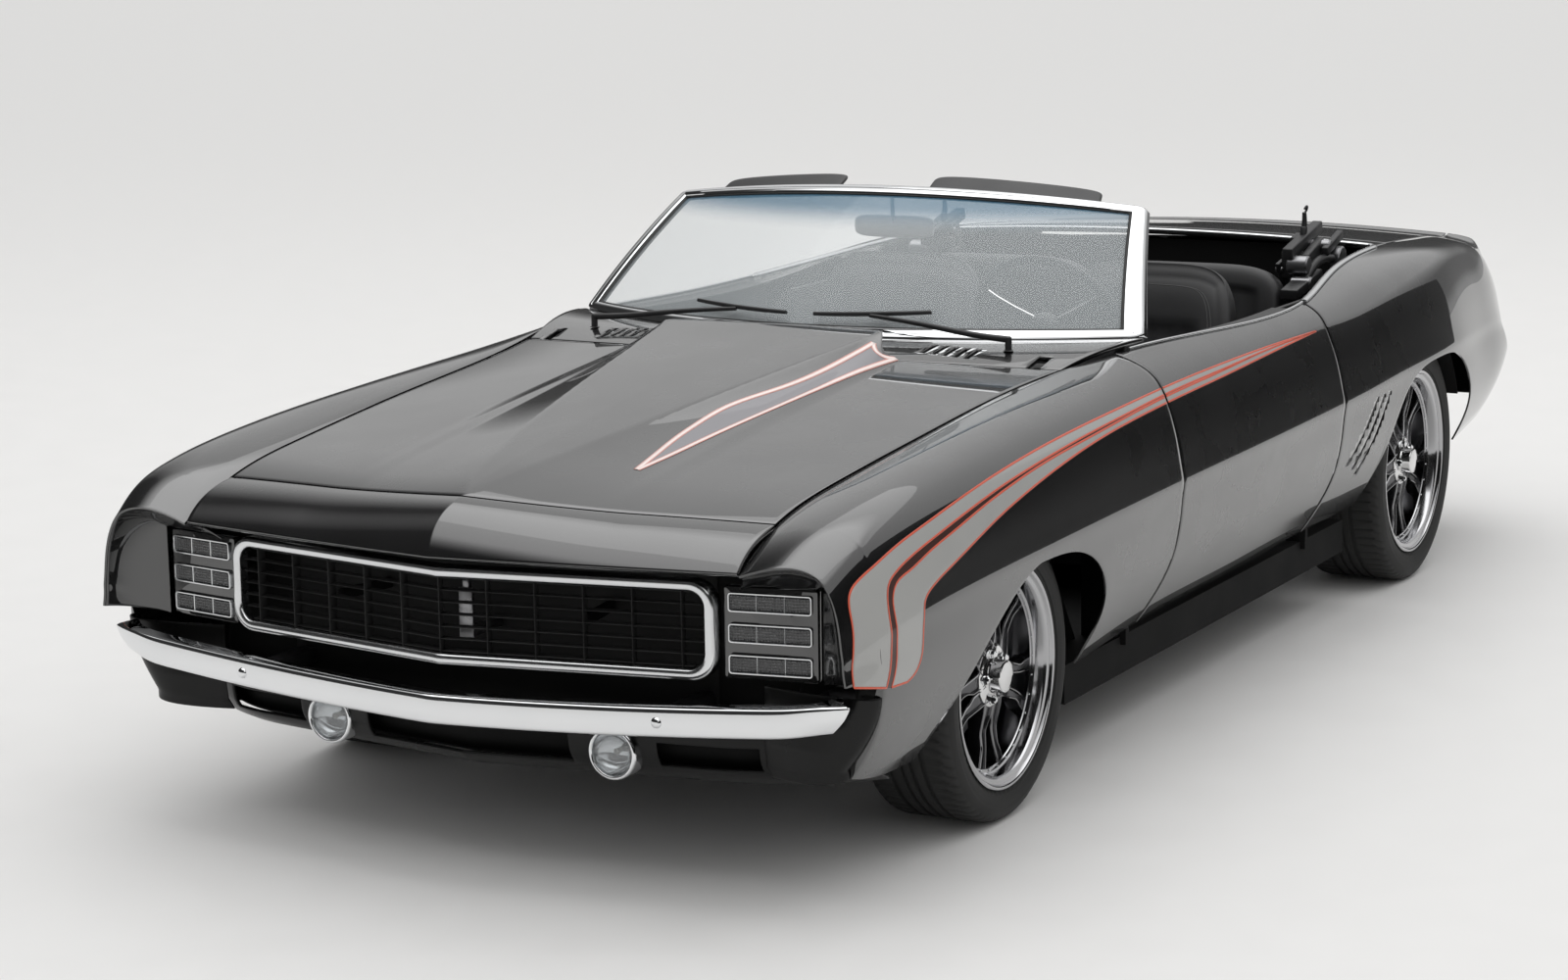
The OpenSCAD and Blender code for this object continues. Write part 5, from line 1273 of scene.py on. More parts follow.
def make_windshield():
    """Bright frame, seal, glass, wipers, visors and mirror."""
    rim = [(0, -0.026), (0, -0.006), (0.05, -0.0022), (0.14, -0.0004), (0.3, 0.0006), (0.42, 0.0008), (0.45, -0.0006),
           (0.48, 0.0008), (0.7, 0.0004),
           (0.88, -0.0006), (0.96, -0.0026), (1, -0.006), (1, -0.026)]
    made("windshield_rim", ring_part(0.72, 0.3025, 0.020, 0.037, rim, on_screen, 72), M["chrome"], angle=40,
         slot="chrome",
         nodes=["windshield_frame"])
    seal = [(0, -0.022), (0, -0.006), (0.3, -0.0048), (0.7, -0.0056), (1, -0.008), (1, -0.022)]
    made("windshield_seal", ring_part(0.6845, 0.267, 0.012, 0.008, seal, on_screen, 72), M["seal"], angle=50)
    u, v = rows(np.linspace(-0.684, 0.684, 80), np.linspace(-0.266, 0.266, 40))
    on_body(shell("windshield_pane", on_screen(-0.009, u, v), 0.005, M["glass"], edge=0), "chassis", "glass",
            "windshield_glass")
    arms, blades, caps = [], [], []
    for m in (1, -1):
        p = cowl(np.array(0.75 * m), np.array(0.4)) + (0, 0, 0.0018)
        caps.append(turned([(0, 0.034), (0.004, 0.0335), (0.0072, 0.031), (0.008, 0.027), (0.008, 0.002), (0.012, 0),
                            (0, 0)], 32, p, (0, 0, 1)))
        tip = on_screen(0.014, 0.72 * 0.24 * m, -0.232)
        elbow = p + (tip - p) * 0.16 + (0.004, 0, 0.020)
        path = flowing([p + (0, 0, 0.026), elbow, p + (tip - p) * 0.6 + (0.006, 0, 0.012), tip], 24)
        arms.append(tube(path, np.linspace(0.0080, 0.0050, 24), 12))
        ends = np.linspace(0.05, 0.42, 30) * 0.72 * m
        edge = on_screen(0.0075 + 0 * ends, ends, -0.232 + 0.02 * (ends / 0.3) ** 2)
        blades.append(tube(edge, 0.0036, 8))
        spine = on_screen(0.012 + 0.004 * np.sin(np.linspace(0, np.pi, 30)), ends, -0.232 + 0.02 * (ends / 0.3) ** 2)
        arms.append(tube(spine, 0.0048, 8))
        for k in (2, 9, 20, 27):
            arms.append(tube(np.array([edge[k], spine[k] + 0.0005]), 0.0024, 8))
    made("wiper_arms", joined(arms), M["satin"], angle=60, slot="dark_trim", nodes=["wipers"])
    made("wiper_blades", joined(blades), M["seal"], angle=60)
    made("wiper_pivots", joined(caps), M["satin"], angle=40)
    for label, (a, b) in (("right", (-0.83, -0.25)), ("left", (0.14, 0.81))):
        def flap(q, p):
            t, s = (a + b) / 2 + (b - a) / 2 * p[..., 1], 1.035 + 0.085 * p[..., 2]
            deep = 0.0365 - 0.0095 * p[..., 0] * (1 - 0.25 * p[..., 1] ** 2)
            return screen(t, s) - deep[..., None] * BACKWARD
        verts, faces, place = pillow((1, 1, 1), 28, 7, flap)
        obj = made(f"sun_visor_{label}", (verts, faces), M["leather"], slot="black_leather",
                   nodes=["visors_and_mirror"] if label == "left" else ())
        w = np.linspace(0, 2 * np.pi, 160, endpoint=False)
        edge = np.stack([0 * w, np.cos(w), np.sin(w)], -1)
        edge = edge / np.max(np.abs(edge), axis=1, keepdims=True)
        path = place(edge)
        made(f"visor_piping_{label}", tube(np.concatenate([path, path[:2]]), 0.0016, 8), M["plastic"], angle=60,
             slot="black_leather")
    x = HOOD_REAR - 0.580 - 0.037
    back, faces, _ = pillow((0.009, 0.110, 0.028), 24, 4.5)
    made("mirror_shell", (back + (x, 0, 1.126), faces), M["pale"], slot="cabin_plastic")
    pane, faces, _ = pillow((0.0012, 0.104, 0.0235), 16, 5)
    made("mirror_pane", (pane + (x - 0.0088, 0, 1.126), faces), M["mirror"], slot="glass")
    stem = flowing([(x + 0.004, 0, 1.140), (x + 0.011, 0, 1.165), (x + 0.0135, 0, 1.200), (x + 0.016, 0, 1.2155)], 24)
    made("mirror_stem", tube(stem, 0.0055, 16), M["bright"], angle=60, slot="bright_trim")


# Stripes

EDGES = {
    "front": [(2.240, 0.475), (2.237, 0.521), (2.229, 0.557), (2.227, 0.598), (2.227, 0.632), (2.219, 0.652),
              (2.192, 0.672), (2.143, 0.690),
              (2.053, 0.714), (1.927, 0.736), (1.808, 0.753), (1.646, 0.772), (1.474, 0.787), (1.181, 0.804),
              (0.895, 0.814), (0.589, 0.822),
              (0.233, 0.826), (-0.050, 0.826), (-0.250, 0.824), (-0.431, 0.821)],
    "gap_front": [(2.134, 0.453), (2.115, 0.496), (2.108, 0.537), (2.110, 0.583), (2.112, 0.622), (2.104, 0.648),
                  (2.075, 0.667), (2.014, 0.686),
                  (1.907, 0.707), (1.753, 0.731), (1.586, 0.752), (1.378, 0.770), (1.095, 0.788), (0.789, 0.801),
                  (0.598, 0.808), (0.248, 0.814),
                  (0.0, 0.819), (-0.431, 0.821)],
    "gap_rear": [(2.115, 0.450), (2.095, 0.492), (2.088, 0.539), (2.091, 0.589), (2.093, 0.620), (2.082, 0.641),
                 (2.029, 0.661), (1.944, 0.682),
                 (1.840, 0.702), (1.680, 0.729), (1.507, 0.751), (1.384, 0.763), (1.091, 0.781), (0.790, 0.796),
                 (0.599, 0.803), (0.251, 0.811),
                 (0.0, 0.818), (-0.431, 0.821)],
    "rear": [(2.053, 0.448), (2.020, 0.461), (1.996, 0.488), (1.986, 0.525), (1.983, 0.563), (1.974, 0.594),
             (1.943, 0.614), (1.861, 0.639),
             (1.744, 0.669), (1.618, 0.698), (1.479, 0.722), (1.231, 0.754), (0.997, 0.774), (0.764, 0.785),
             (0.580, 0.791), (0.267, 0.799),
             (-0.041, 0.809), (-0.431, 0.821)],
}
CORNER, OUTLINE_W = 5, 0.0042
STRIPE_SPLIT = {"fender": (3.0, DOOR_FRONT + SHUT + 0.0005), "door": (DOOR_FRONT - 0.0005, -3.0)}


def side_point(xz):
    """Points of the left side at places along the car and heights."""
    f = xz.reshape(-1, 2)
    t = seek(f[:, 0], f[:, 1:2], 0.12)
    return np.concatenate([f[:, :1], section(f[:, 0], t)[:, 0]], 1).reshape(*xz.shape[:-1], 3)


def stripe_edge(key, panel):
    """An edge of the stripe on one panel, with the same number of points for every edge."""
    path = flowing(EDGES[key], 2400)
    corner = int(np.argmin(np.linalg.norm(path - np.array(EDGES[key][CORNER]), axis=1)))
    hi, lo = STRIPE_SPLIT[panel]
    run = path[corner:]
    run = run[(run[:, 0] <= hi) & (run[:, 0] >= lo)]
    if panel == "door":
        return even(run, 110)
    return np.concatenate([even(path[:corner + 1], 40), even(run, 150)[1:]])


def ribbon(path, width):
    d = np.gradient(path, axis=0)
    n = np.stack([d[:, 1], -d[:, 0]], -1) / np.linalg.norm(d, axis=1, keepdims=True)
    across = np.linspace(-width / 2, width / 2, 4)
    return side_point(path[:, None] + across[None, :, None] * n[:, None])


def make_stripes():
    """Silver bands with their red outlines on the sides, and the spear on the hood."""
    for panel in ("fender", "door"):
        for side, mirror in SIDES:
            body = "chassis" if panel == "fender" else f"door_{side}"
            for label, a, b in (("upper", "front", "gap_front"), ("gap", "gap_front", "gap_rear"),
                                ("lower", "gap_rear", "rear")):
                p, q = stripe_edge(a, panel), stripe_edge(b, panel)
                k = np.linspace(0, 1, 15)[None, :, None]
                grid = side_point(q[:, None] * (1 - k) + p[:, None] * k)
                key = "gap" if label == "gap" else "silver"
                decal(f"stripe_{label}_{panel}_{side}", grid, key, body, 0.0005, mirror)
            for key in EDGES:
                line = ribbon(stripe_edge(key, panel), OUTLINE_W)
                decal(f"outline_{key}_{panel}_{side}", line, "outline", body, 0.0009, mirror)
            if panel == "fender":
                for label, a, b in (("upper", "front", "gap_front"), ("lower", "gap_rear", "rear")):
                    foot = even(np.stack([stripe_edge(b, panel)[0], stripe_edge(a, panel)[0]]), 20)
                    decal(f"outline_foot_{label}_{side}", ribbon(foot, OUTLINE_W), "outline", body, 0.0009, mirror)
    upper = np.array([(0.940, 0.295), (1.007, 0.288), (1.176, 0.275), (1.325, 0.256), (1.414, 0.238), (1.517, 0.222),
                      (1.628, 0.221), (1.736, 0.227),
                      (1.841, 0.240), (1.941, 0.253)])
    lower = np.array([(0.933, 0.349), (1.089, 0.331), (1.259, 0.318), (1.414, 0.304), (1.559, 0.289), (1.706, 0.276),
                      (1.827, 0.267), (1.941, 0.2545)])
    up, low = (even(flowing(e, 600), 140) for e in (upper, lower))
    k = np.linspace(0, 1, 25)[None, :, None]
    plan = up[:, None] * (1 - k) + low[:, None] * k
    hollow = 0.030 * (1 - (2 * k - 1) ** 2) * np.maximum(0, 1 - np.linspace(0, 5, 140))[:, None, None] ** 2
    plan = plan + hollow * np.array([1, 0])

    def hood_line(name, path, width, key, lift):
        d = np.gradient(path, axis=0)
        n = np.stack([-d[:, 1], d[:, 0]], -1) / np.linalg.norm(d, axis=1, keepdims=True)
        p = path[:, None] + np.linspace(-width / 2, width / 2, 4)[None, :, None] * n[:, None]
        decal(name, hood_at(p[..., 0], p[..., 1]), key, "hood", lift)

    decal("hood_spear", hood_at(plan[..., 0], plan[..., 1]), "spear", "hood", 0.0005)
    for label, path in (("upper", plan[:, 0]), ("lower", plan[:, -1]), ("end", plan[0, :])):
        hood_line(f"spear_{label}_edge", path, 0.0135, "fringe", 0.0008)
        # The pale core on each red spear edge is a painted highlight.
        hood_line(f"spear_{label}_line", path, 0.0085, "pinline", 0.0012)


# Cabin

def axes(at, forward, up):
    """Placing function of a local box: forward, left and up."""
    f, u = np.asarray(forward, float), np.asarray(up, float)
    return lambda p: np.asarray(at) + p[..., :1] * f + p[..., 1:2] * np.array([0, 1, 0]) + p[..., 2:] * u


def leaning(degrees):
    """Forward and up directions of a pad that leans back."""
    a = math.radians(degrees)
    return np.array([math.cos(a), 0, math.sin(a)]), np.array([-math.sin(a), 0, math.cos(a)])


def stitched(name, paths, body="chassis"):
    made(name, joined([tube(p, 0.0011, 6) for p in paths]), M["thread"], body=body, slot="black_leather")


def channels(v, count, depth):
    """Rounded pleats across v in -1 to 1."""
    return depth * (np.abs(np.sin(np.pi * count * (v + 1) / 2)) ** 0.6 - 1)


def soft_pad(name, half, power, relief, at, forward, up, nodes=()):
    frame = axes(at, forward, up)

    def shape(q, p):
        return frame(relief(q, np.array(p)))

    verts, faces, place = pillow(half, 44, power, shape)
    obj = made(name, (verts, faces), M["leather"], slot="black_leather", nodes=nodes)
    return place


def back_relief(q, p):
    face = smoothstep((q[..., 0] - 0.2) / 0.6)
    inside = smoothstep((0.70 - np.abs(q[..., 1])) / 0.12) * smoothstep((0.52 - q[..., 2]) / 0.12)
    p[..., 0] += face * (inside * (-0.012 + channels(q[..., 1] / 0.70, 7, 0.005)))
    p[..., 0] -= 0.020 * face * q[..., 2] ** 2 * (q[..., 2] > 0)
    p[..., 1] *= 1 - 0.06 * smoothstep((q[..., 2] - 0.2) / 0.8)
    return p


def cushion_relief(q, p):
    top = smoothstep((q[..., 2] - 0.2) / 0.6)
    inside = smoothstep((0.68 - np.abs(q[..., 1])) / 0.12) * smoothstep((0.70 - q[..., 0]) / 0.12)
    p[..., 2] += top * (inside * (-0.014 + channels(q[..., 1] / 0.68, 7, 0.005)))
    return p


def bench_relief(axis):
    def relief(q, p):
        face = smoothstep((q[..., axis] - 0.2) / 0.6)
        other = q[..., 2 if axis == 0 else 0]
        inside = smoothstep((0.86 - np.abs(q[..., 1])) / 0.08) * smoothstep((0.74 - np.abs(other)) / 0.1)
        p[..., axis] += face * inside * (-0.010 + channels(q[..., 1] / 0.86, 10, 0.004))
        return p
    return relief


def make_seats():
    """Front seats, rear bench and the panels beside it."""
    (f, u), (cf, cu) = leaning(16), leaning(6)
    for side, m in (("left", 1), ("right", -1)):
        y = 0.37 * m
        place = soft_pad(f"front_seat_back_{side}", (0.055, 0.248, 0.314), 5, back_relief,
                         np.array([-0.36, y, 0.37]) + 0.314 * u - 0.055 * f, f, u,
                         nodes=["front_seats"] if m > 0 else ())
        seams = []
        for w in (0.80, 0.855):
            arc = [(1, w, -0.95), (1, w, -0.4), (1, w, 0.2), (1, w, 0.60), (1, w - 0.10, 0.80), (1, w - 0.35, 0.86),
                   (1, 0, 0.87)]
            for k in (1, -1):
                seams.append(place(np.array([(a, k * b, c) for a, b, c in flowing(arc, 60)])))
        cushion = soft_pad(f"front_seat_cushion_{side}", (0.26, 0.24, 0.075), 5, cushion_relief,
                           np.array([-0.38, y, 0.30]) + 0.26 * cf + 0.075 * cu,
                           cf, cu)
        for w in (0.76, 0.80):
            for k in (1, -1):
                seams.append(cushion(flowing([(-0.9, k * w, 1), (0, k * w, 1), (0.78, k * w, 1)], 50)))
        stitched(f"front_seat_thread_{side}", seams)
        frame_box = [box_part((-0.34, y - 0.18, 0.1926), (0.08, y - 0.14, 0.33)),
                     box_part((-0.34, y + 0.14, 0.1926), (0.08, y + 0.18, 0.33)),
                     box_part((-0.33, y - 0.15, 0.26), (0.07, y + 0.15, 0.33))]
        made(f"front_seat_base_{side}", joined(frame_box), M["satin"], bevel=0.004, slot="running_gear")
        hinge = turned([(0, 0.010), (0.020, 0.009), (0.026, 0.004), (0.026, -0.004), (0, -0.004)], 40,
                       (-0.345, y + 0.243 * m, 0.405), (0, m, 0))
        made(f"front_seat_hinge_{side}", hinge, M["plastic"], angle=40, slot="cabin_plastic")
    f, u = leaning(14)
    for side, m in (("left", 1), ("right", -1)):
        soft_pad(f"bench_back_{side}", (0.055, 0.284, 0.205), 5, bench_relief(0),
                 np.array([-0.913, 0.286 * m, 0.519]) + 0.205 * u - 0.055 * f, f, u,
                 nodes=["rear_seat"] if m > 0 else ())
        soft_pad(f"bench_cushion_{side}", (0.18, 0.279, 0.105), 6, bench_relief(2), (-0.693, 0.281 * m, 0.365),
                 (1, 0, 0), (0, 0, 1))
    base = [box_part((-0.868, 0.1206, 0.1926), (-0.518, 0.555, 0.27)),
            box_part((-0.868, -0.555, 0.1926), (-0.518, -0.1206, 0.27)),
            box_part((-1.013, -0.5, 0.4926), (-0.93, 0.5, 0.56))]
    made("bench_base", joined(base), M["carpet"], bevel=0.006, slot="cabin_plastic")
    y, z = 0.6905, np.linspace(0.1926, 0.850, 60)
    x = np.linspace(-0.873, -0.524, 40)
    gx, gz = rows(x, z)
    swell = 0.006 * smoothstep((0.48 - np.abs(gz - 0.60) / 0.26) / 0.2) * smoothstep((0.155 - np.abs(gx + 0.70))
        / 0.02)
    near = np.stack([gx, y + 0.006 - swell, gz], -1)
    far = np.stack([gx, np.full_like(gx, 0.711), gz], -1)
    made("rear_side_panels", both(slab(near, far)), M["plastic"], bevel=0.003, slot="cabin_plastic")


def make_dash():
    """Dashboard with its instruments, the column and the steering wheel."""
    profile = np.array([(0.8695, 0.680), (0.8695, 0.842), (0.740, 0.856), (0.620, 0.858), (0.565, 0.853),
                        (0.535, 0.838), (0.520, 0.812), (0.525, 0.778),
                        (0.540, 0.742), (0.560, 0.705), (0.590, 0.680)])
    ys = np.concatenate([np.linspace(-0.700, -0.690, 4), np.linspace(-0.68, 0.68, 60), np.linspace(0.690, 0.700, 4)])
    made("dash_pad", loft([np.stack([profile[:, 0], np.full(len(profile), y), profile[:, 1]], -1) for y in ys]),
         M["plastic"], bevel=0.006,
         angle=40, slot="cabin_plastic", nodes=["dashboard"])
    out = np.array([-0.965, 0, -0.262])
    dials, plates = [], []
    for y, r in ((0.285, 0.048), (0.445, 0.048), (0.365, 0.026)):
        at = np.array([0.5225, y, 0.790]) if r > 0.03 else np.array([0.528, y, 0.772])
        dials.append(turned([(r, -0.010), (r, 0.006), (r - 0.002, 0.009), (r - 0.006, 0.009), (r - 0.008, 0.005),
                             (r - 0.008, -0.010)], 64, at, out))
        plates.append(turned([(0, 0.002), (r - 0.008, 0.0015), (r - 0.008, -0.008), (0, -0.008)], 48, at, out))
    made("gauge_rings", joined(dials), M["bright"], angle=40, slot="bright_trim")
    made("gauge_faces", joined(plates), M["dark"], angle=40)
    knobs = [turned([(0, 0.022), (0.007, 0.021), (0.009, 0.018), (0.010, 0.004), (0.012, 0), (0, -0.004)], 24,
                    (0.536, y, 0.745), out)
             for y in (-0.06, -0.02, 0.02, 0.06, 0.20, 0.52)]
    made("dash_knobs", joined(knobs), M["brushed"], angle=40, slot="bright_trim")
    line = [box_part((0.516, -0.62, 0.806), (0.524, 0.62, 0.811)),
            box_part((0.512, -0.60, 0.735), (0.552, -0.22, 0.739)),
            box_part((0.514, -0.085, 0.760), (0.530, 0.085, 0.800))]
    made("dash_trim", joined(line), M["brushed"], bevel=0.0015, slot="bright_trim")
    a = math.radians(66)
    w, up = np.array([-math.sin(a), 0, math.cos(a)]), np.array([math.cos(a), 0, math.sin(a)])
    left = np.cross(w, up)
    centre = np.array([0.120, 0.365, 0.868])
    column = [(0, -0.480), (0.034, -0.480), (0.034, -0.10), (0.032, -0.075), (0.026, -0.064), (0.012, -0.060),
              (0.011, 0.004), (0, 0.004)]
    made("steering_column", turned(column, 48, centre, w), M["satin"], angle=40, slot="cabin_plastic")
    body = "steering_wheel"
    ring = np.linspace(0, 2 * np.pi, 180, endpoint=False)
    tube_a = np.linspace(0, 2 * np.pi, 20, endpoint=False)
    g, t = rows(ring, tube_a)
    grip = 0.0125 + 0.0006 * np.cos(40 * g) * (np.cos(t) < 0)
    radius = 0.190 + grip * np.cos(t)
    p = centre + (0.020 + grip * np.sin(t))[..., None] * w + (radius * np.cos(g))[...,
        None] * up + (radius * np.sin(g))[..., None] * left
    made("steering_rim", donut(p), M["leather"], body=body, slot="black_leather", nodes=["steering_wheel"])
    spokes = []
    for k in (60, 180, 300):
        d = math.cos(math.radians(k)) * up + math.sin(math.radians(k)) * left
        e = np.cross(w, d)
        sections = []
        for r, half, rise in ((0.024, 0.013, 0.010), (0.05, 0.0115, 0.011), (0.10, 0.0095, 0.0115),
                              (0.150, 0.0095, 0.0145), (0.184, 0.0115, 0.019)):
            sections.append([centre + r * d + c * half * e + (rise + b) * w for c, b in
                             ((-1, -0.002), (-1, 0.002), (-0.8, 0.0032), (0.8, 0.0032), (1, 0.002), (1, -0.002),
                              (0.8, -0.003), (-0.8, -0.003))])
        spokes.append(loft(sections))
    made("steering_spokes", joined(spokes), M["polished"], angle=40, body=body, slot="bright_trim")
    hub = [(0, 0.0245), (0.012, 0.0242), (0.030, 0.022), (0.042, 0.016), (0.046, 0.006), (0.046, -0.022),
           (0.040, -0.030), (0.0125, -0.030), (0.0125, 0.010), (0, 0.010)]
    made("steering_hub", turned(hub, 64, centre, w), M["plastic"], angle=40, body=body, slot="cabin_plastic")


def make_door_trims():
    """Inner door panels with armrest, pull, crank and hinges."""
    xs = np.linspace(DOOR_REAR + SHUT + 0.045, DOOR_FRONT - 0.078, 90)
    outer = side_grid(xs, 70, 0.0, 0.985)
    skin = grid_normals(outer)
    near = outer - 0.010 * skin
    far = near.copy()
    x, z = far[..., 0], far[..., 2]
    roll = 0.012 * smoothstep((z - 0.80) / 0.04)
    rest = 0.036 * smoothstep((0.024 - np.abs(z - 0.605)) / 0.016) * smoothstep((0.30 - np.abs(x - 0.02)) / 0.03)
    panel = 0.005 * smoothstep((0.10 - np.abs(z - 0.72)) / 0.012) * smoothstep((0.42 - np.abs(x - 0.04)) / 0.015)
    pocket = 0.006 * smoothstep((0.11 - np.abs(z - 0.42)) / 0.012) * smoothstep((0.36 - np.abs(x - 0.06)) / 0.015)
    far[..., 1] = DOOR_IN - rest - panel + pocket * 0.5 + roll * 0.2
    for side, mirror in SIDES:
        m = -1 if mirror else 1
        flip = np.array([1, m, 1])
        body = f"door_{side}"
        made(f"door_{side}_trim", slab(near * flip, far * flip), M["plastic"], angle=40, body=body,
             slot="cabin_plastic")
        crank = [turned([(0, 0.022), (0.014, 0.020), (0.018, 0.014), (0.020, 0), (0, -0.004)], 32,
                        (0.16, m * DOOR_IN, 0.70), (0, -m, 0)),
                 tube(flowing([(0.16, m * (DOOR_IN - 0.016), 0.70), (0.19, m * (DOOR_IN - 0.024), 0.69),
                               (0.235, m * (DOOR_IN - 0.026), 0.672)], 16), 0.005, 10),
                 turned([(0, 0.030), (0.007, 0.029), (0.009, 0.022), (0.007, 0.004), (0, 0)], 24,
                        (0.235, m * (DOOR_IN - 0.022), 0.672), (0, -m, 0)),
                 tube(flowing([(0.30, m * (DOOR_IN - 0.004), 0.772), (0.30, m * (DOOR_IN - 0.024), 0.772),
                               (0.36, m * (DOOR_IN - 0.028), 0.768),
                               (0.40, m * (DOOR_IN - 0.022), 0.766)], 20), 0.005, 10)]
        made(f"door_{side}_handles", joined(crank), M["chrome"], angle=50, body=body, slot="chrome")
        leaf = []
        for z in (0.505, 0.705):
            leaf.append(turned([(0.0078, 0.022), (0.0135, 0.022), (0.014, 0.021), (0.014, 0.001), (0.0135, 0),
                                (0.0078, 0)], 40, (DOOR_FRONT - 0.06, m * 0.875, z),
                               (0, 0, 1)))
            leaf.append(box_part((DOOR_FRONT - 0.100, m * 0.875 - 0.014, z + 0.0005),
                                 (DOOR_FRONT - 0.069, m * 0.875 + 0.014, z + 0.0215)))
        made(f"door_{side}_hinge_leaves", joined(leaf), M["satin"], angle=40, body=body, slot="running_gear")
        xs2 = np.linspace(DOOR_REAR + SHUT + 0.004, DOOR_FRONT - 0.060, 80)
        e = line_point(xs2, EDGE)
        strip = np.stack([xs2, e[:, 0] - 0.0005, e[:, 1] + 0.0022], -1) * flip
        made(f"door_{side}_belt", tube(strip, 0.0038, 10), M["bright"], angle=60, body=body, slot="bright_trim")


def make_top_well():
    """Folded cloth top, its links, and the bright moulding round the well."""
    def folds(q, p):
        lift = smoothstep((q[..., 2] + 0.2) / 0.6)
        wave = 0.011 * np.sin(9 * q[..., 0] + 1.2 * np.sin(3 * q[..., 1])) + 0.006 * np.sin(14 * q[..., 1] + 4
            * q[..., 0])
        p = np.array(p)
        p[..., 2] += lift * (wave - 0.018 + 0.012 * (1 - q[..., 1] ** 2))
        p[..., 0] += 0.004 * np.sin(11 * q[..., 2] + 2 * q[..., 1])
        return p + np.array([-1.315, 0, 0.606])
    verts, faces, _ = pillow((0.1375, 0.545, 0.113), 60, 8, folds)
    made("folded_cloth", (verts, faces), M["cloth"], slot="top_cloth", nodes=["folded_top"])
    bars, pins = [], []
    for k in (0, 1):
        quad = np.array([(-1.383, 0.69), (-1.313, 0.69), (-1.153 - 0.05 * k, 0.90 + 0.07 * k),
                         (-1.203 - 0.05 * k, 0.91 + 0.07 * k)])
        y0 = 0.500 + 0.026 * k
        bars.append(loft([np.stack([quad[:, 0], np.full(4, y), quad[:, 1]], -1) for y in (y0, y0 + 0.014)]))
        for c in (quad[2:].mean(0) + (0.004, -0.022), quad.mean(0)):
            for y, way in ((y0 + 0.014, 1), (y0, -1)):
                pins.append(turned([(0, 0.004), (0.007, 0.0035), (0.0085, 0.001), (0.0085, -0.002), (0, -0.002)], 24,
                                   (c[0], y, c[1]), (0, way, 0)))
    made("top_links", both(joined(bars)), M["satin"], bevel=0.003, slot="running_gear")

    def bar(y, a, b, high, thick):
        a, b = np.array(a), np.array(b)
        n = np.array([a[1] - b[1], b[0] - a[0]]) / np.linalg.norm(b - a) * high / 2
        quad = [a + n, a - n, b - n, b + n]
        return loft([[(x, w, z) for x, z in quad] for w in (y - thick / 2, y + thick / 2)])

    def pivot(x, y, z, r, half):
        return turned([(0, half), (r - 0.004, half), (r, half - 0.004), (r, -half + 0.004), (r - 0.004, -half),
                       (0, -half)], 40, (x, y, z), (0, 1, 0))

    fold = [bar(0.560, (-1.089, 0.935), (-1.341, 0.990), 0.034, 0.030),
            bar(0.595, (-1.140, 0.912), (-1.2655, 0.950), 0.040, 0.024),
            bar(0.625, (-1.215, 0.932), (-1.347, 0.970), 0.026, 0.020),
            bar(0.600, (-0.994, 0.835), (-1.204, 0.872), 0.030, 0.050),
            bar(0.575, (-1.116, 0.905), (-1.190, 0.800), 0.030, 0.020),
            bar(0.560, (-1.215, 0.955), (-1.225, 1.000), 0.022, 0.016),
            bar(0.630, (-1.297, 0.905), (-1.250, 0.790), 0.032, 0.018),
            bar(0.5275, (-1.185, 0.935), (-1.190, 0.860), 0.030, 0.030)]
    made("folded_top_arms", both(joined(fold)), M["satin"], bevel=0.004, slot="running_gear")
    turns = [pivot(-1.297, 0.635, 0.905, 0.036, 0.016), pivot(-1.116, 0.585, 0.905, 0.026, 0.030),
             pivot(-1.250, 0.592, 0.945, 0.018, 0.040),
             pivot(-1.100, 0.600, 0.855, 0.020, 0.030), pivot(-1.190, 0.575, 0.820, 0.020, 0.055)]
    made("folded_top_pivots", both(joined(turns)), M["steel"], angle=40, slot="bare_steel")
    sweep = tube(flowing([(-1.105, 0.605, 0.858), (-1.170, 0.615, 0.905), (-1.240, 0.625, 0.912),
                          (-1.297, 0.632, 0.900)], 30), 0.013, 14)
    hook = [tube(flowing([(-1.224, 0.560, 0.985), (-1.228, 0.560, 1.020), (-1.226, 0.560, 1.040)], 16),
                 np.linspace(0.009, 0.006, 16), 12),
            tube(flowing([(-1.226, 0.560, 1.036), (-1.236, 0.564, 1.050), (-1.226, 0.567, 1.058),
                          (-1.217, 0.563, 1.050)], 24), 0.0032, 8)]
    made("folded_top_hook", both(joined([sweep] + hook)), M["satin"], angle=50, slot="running_gear")
    made("top_link_pins", both(joined(pins)), M["steel"], angle=40, slot="bare_steel")
    xs = np.linspace(DOOR_REAR - 0.004, WELL_REAR + 0.03, 70)
    e = line_point(xs, EDGE)
    rail = np.stack([xs, e[:, 0] - 0.001, e[:, 1] + 0.003], -1)
    t = np.linspace(0.985, -0.985, 80)
    back = deck_top(np.full(80, WELL_REAR), t, SEAM) + (0.001, 0, 0.003)
    path = np.concatenate([rail, back, (rail * np.array([1, -1, 1]))[::-1]])
    path = even(path, 300)
    for _ in range(3):
        path[1:-1] = 0.5 * path[1:-1] + 0.25 * (path[:-2] + path[2:])
    d = np.gradient(path, axis=0)
    side = np.cross(d / np.linalg.norm(d, axis=1, keepdims=True), (0, 0, 1))
    band = [(-0.010, -0.003), (-0.0095, 0.001), (-0.006, 0.0032), (0, 0.0038), (0.006, 0.0032), (0.0095, 0.001),
            (0.010, -0.003), (0, -0.004)]
    made("well_moulding", loft([[p + a * n + (0, 0, b) for a, b in band] for p, n in zip(path, side)]), M["bright"],
         angle=60, slot="bright_trim")


# Tail and hinges

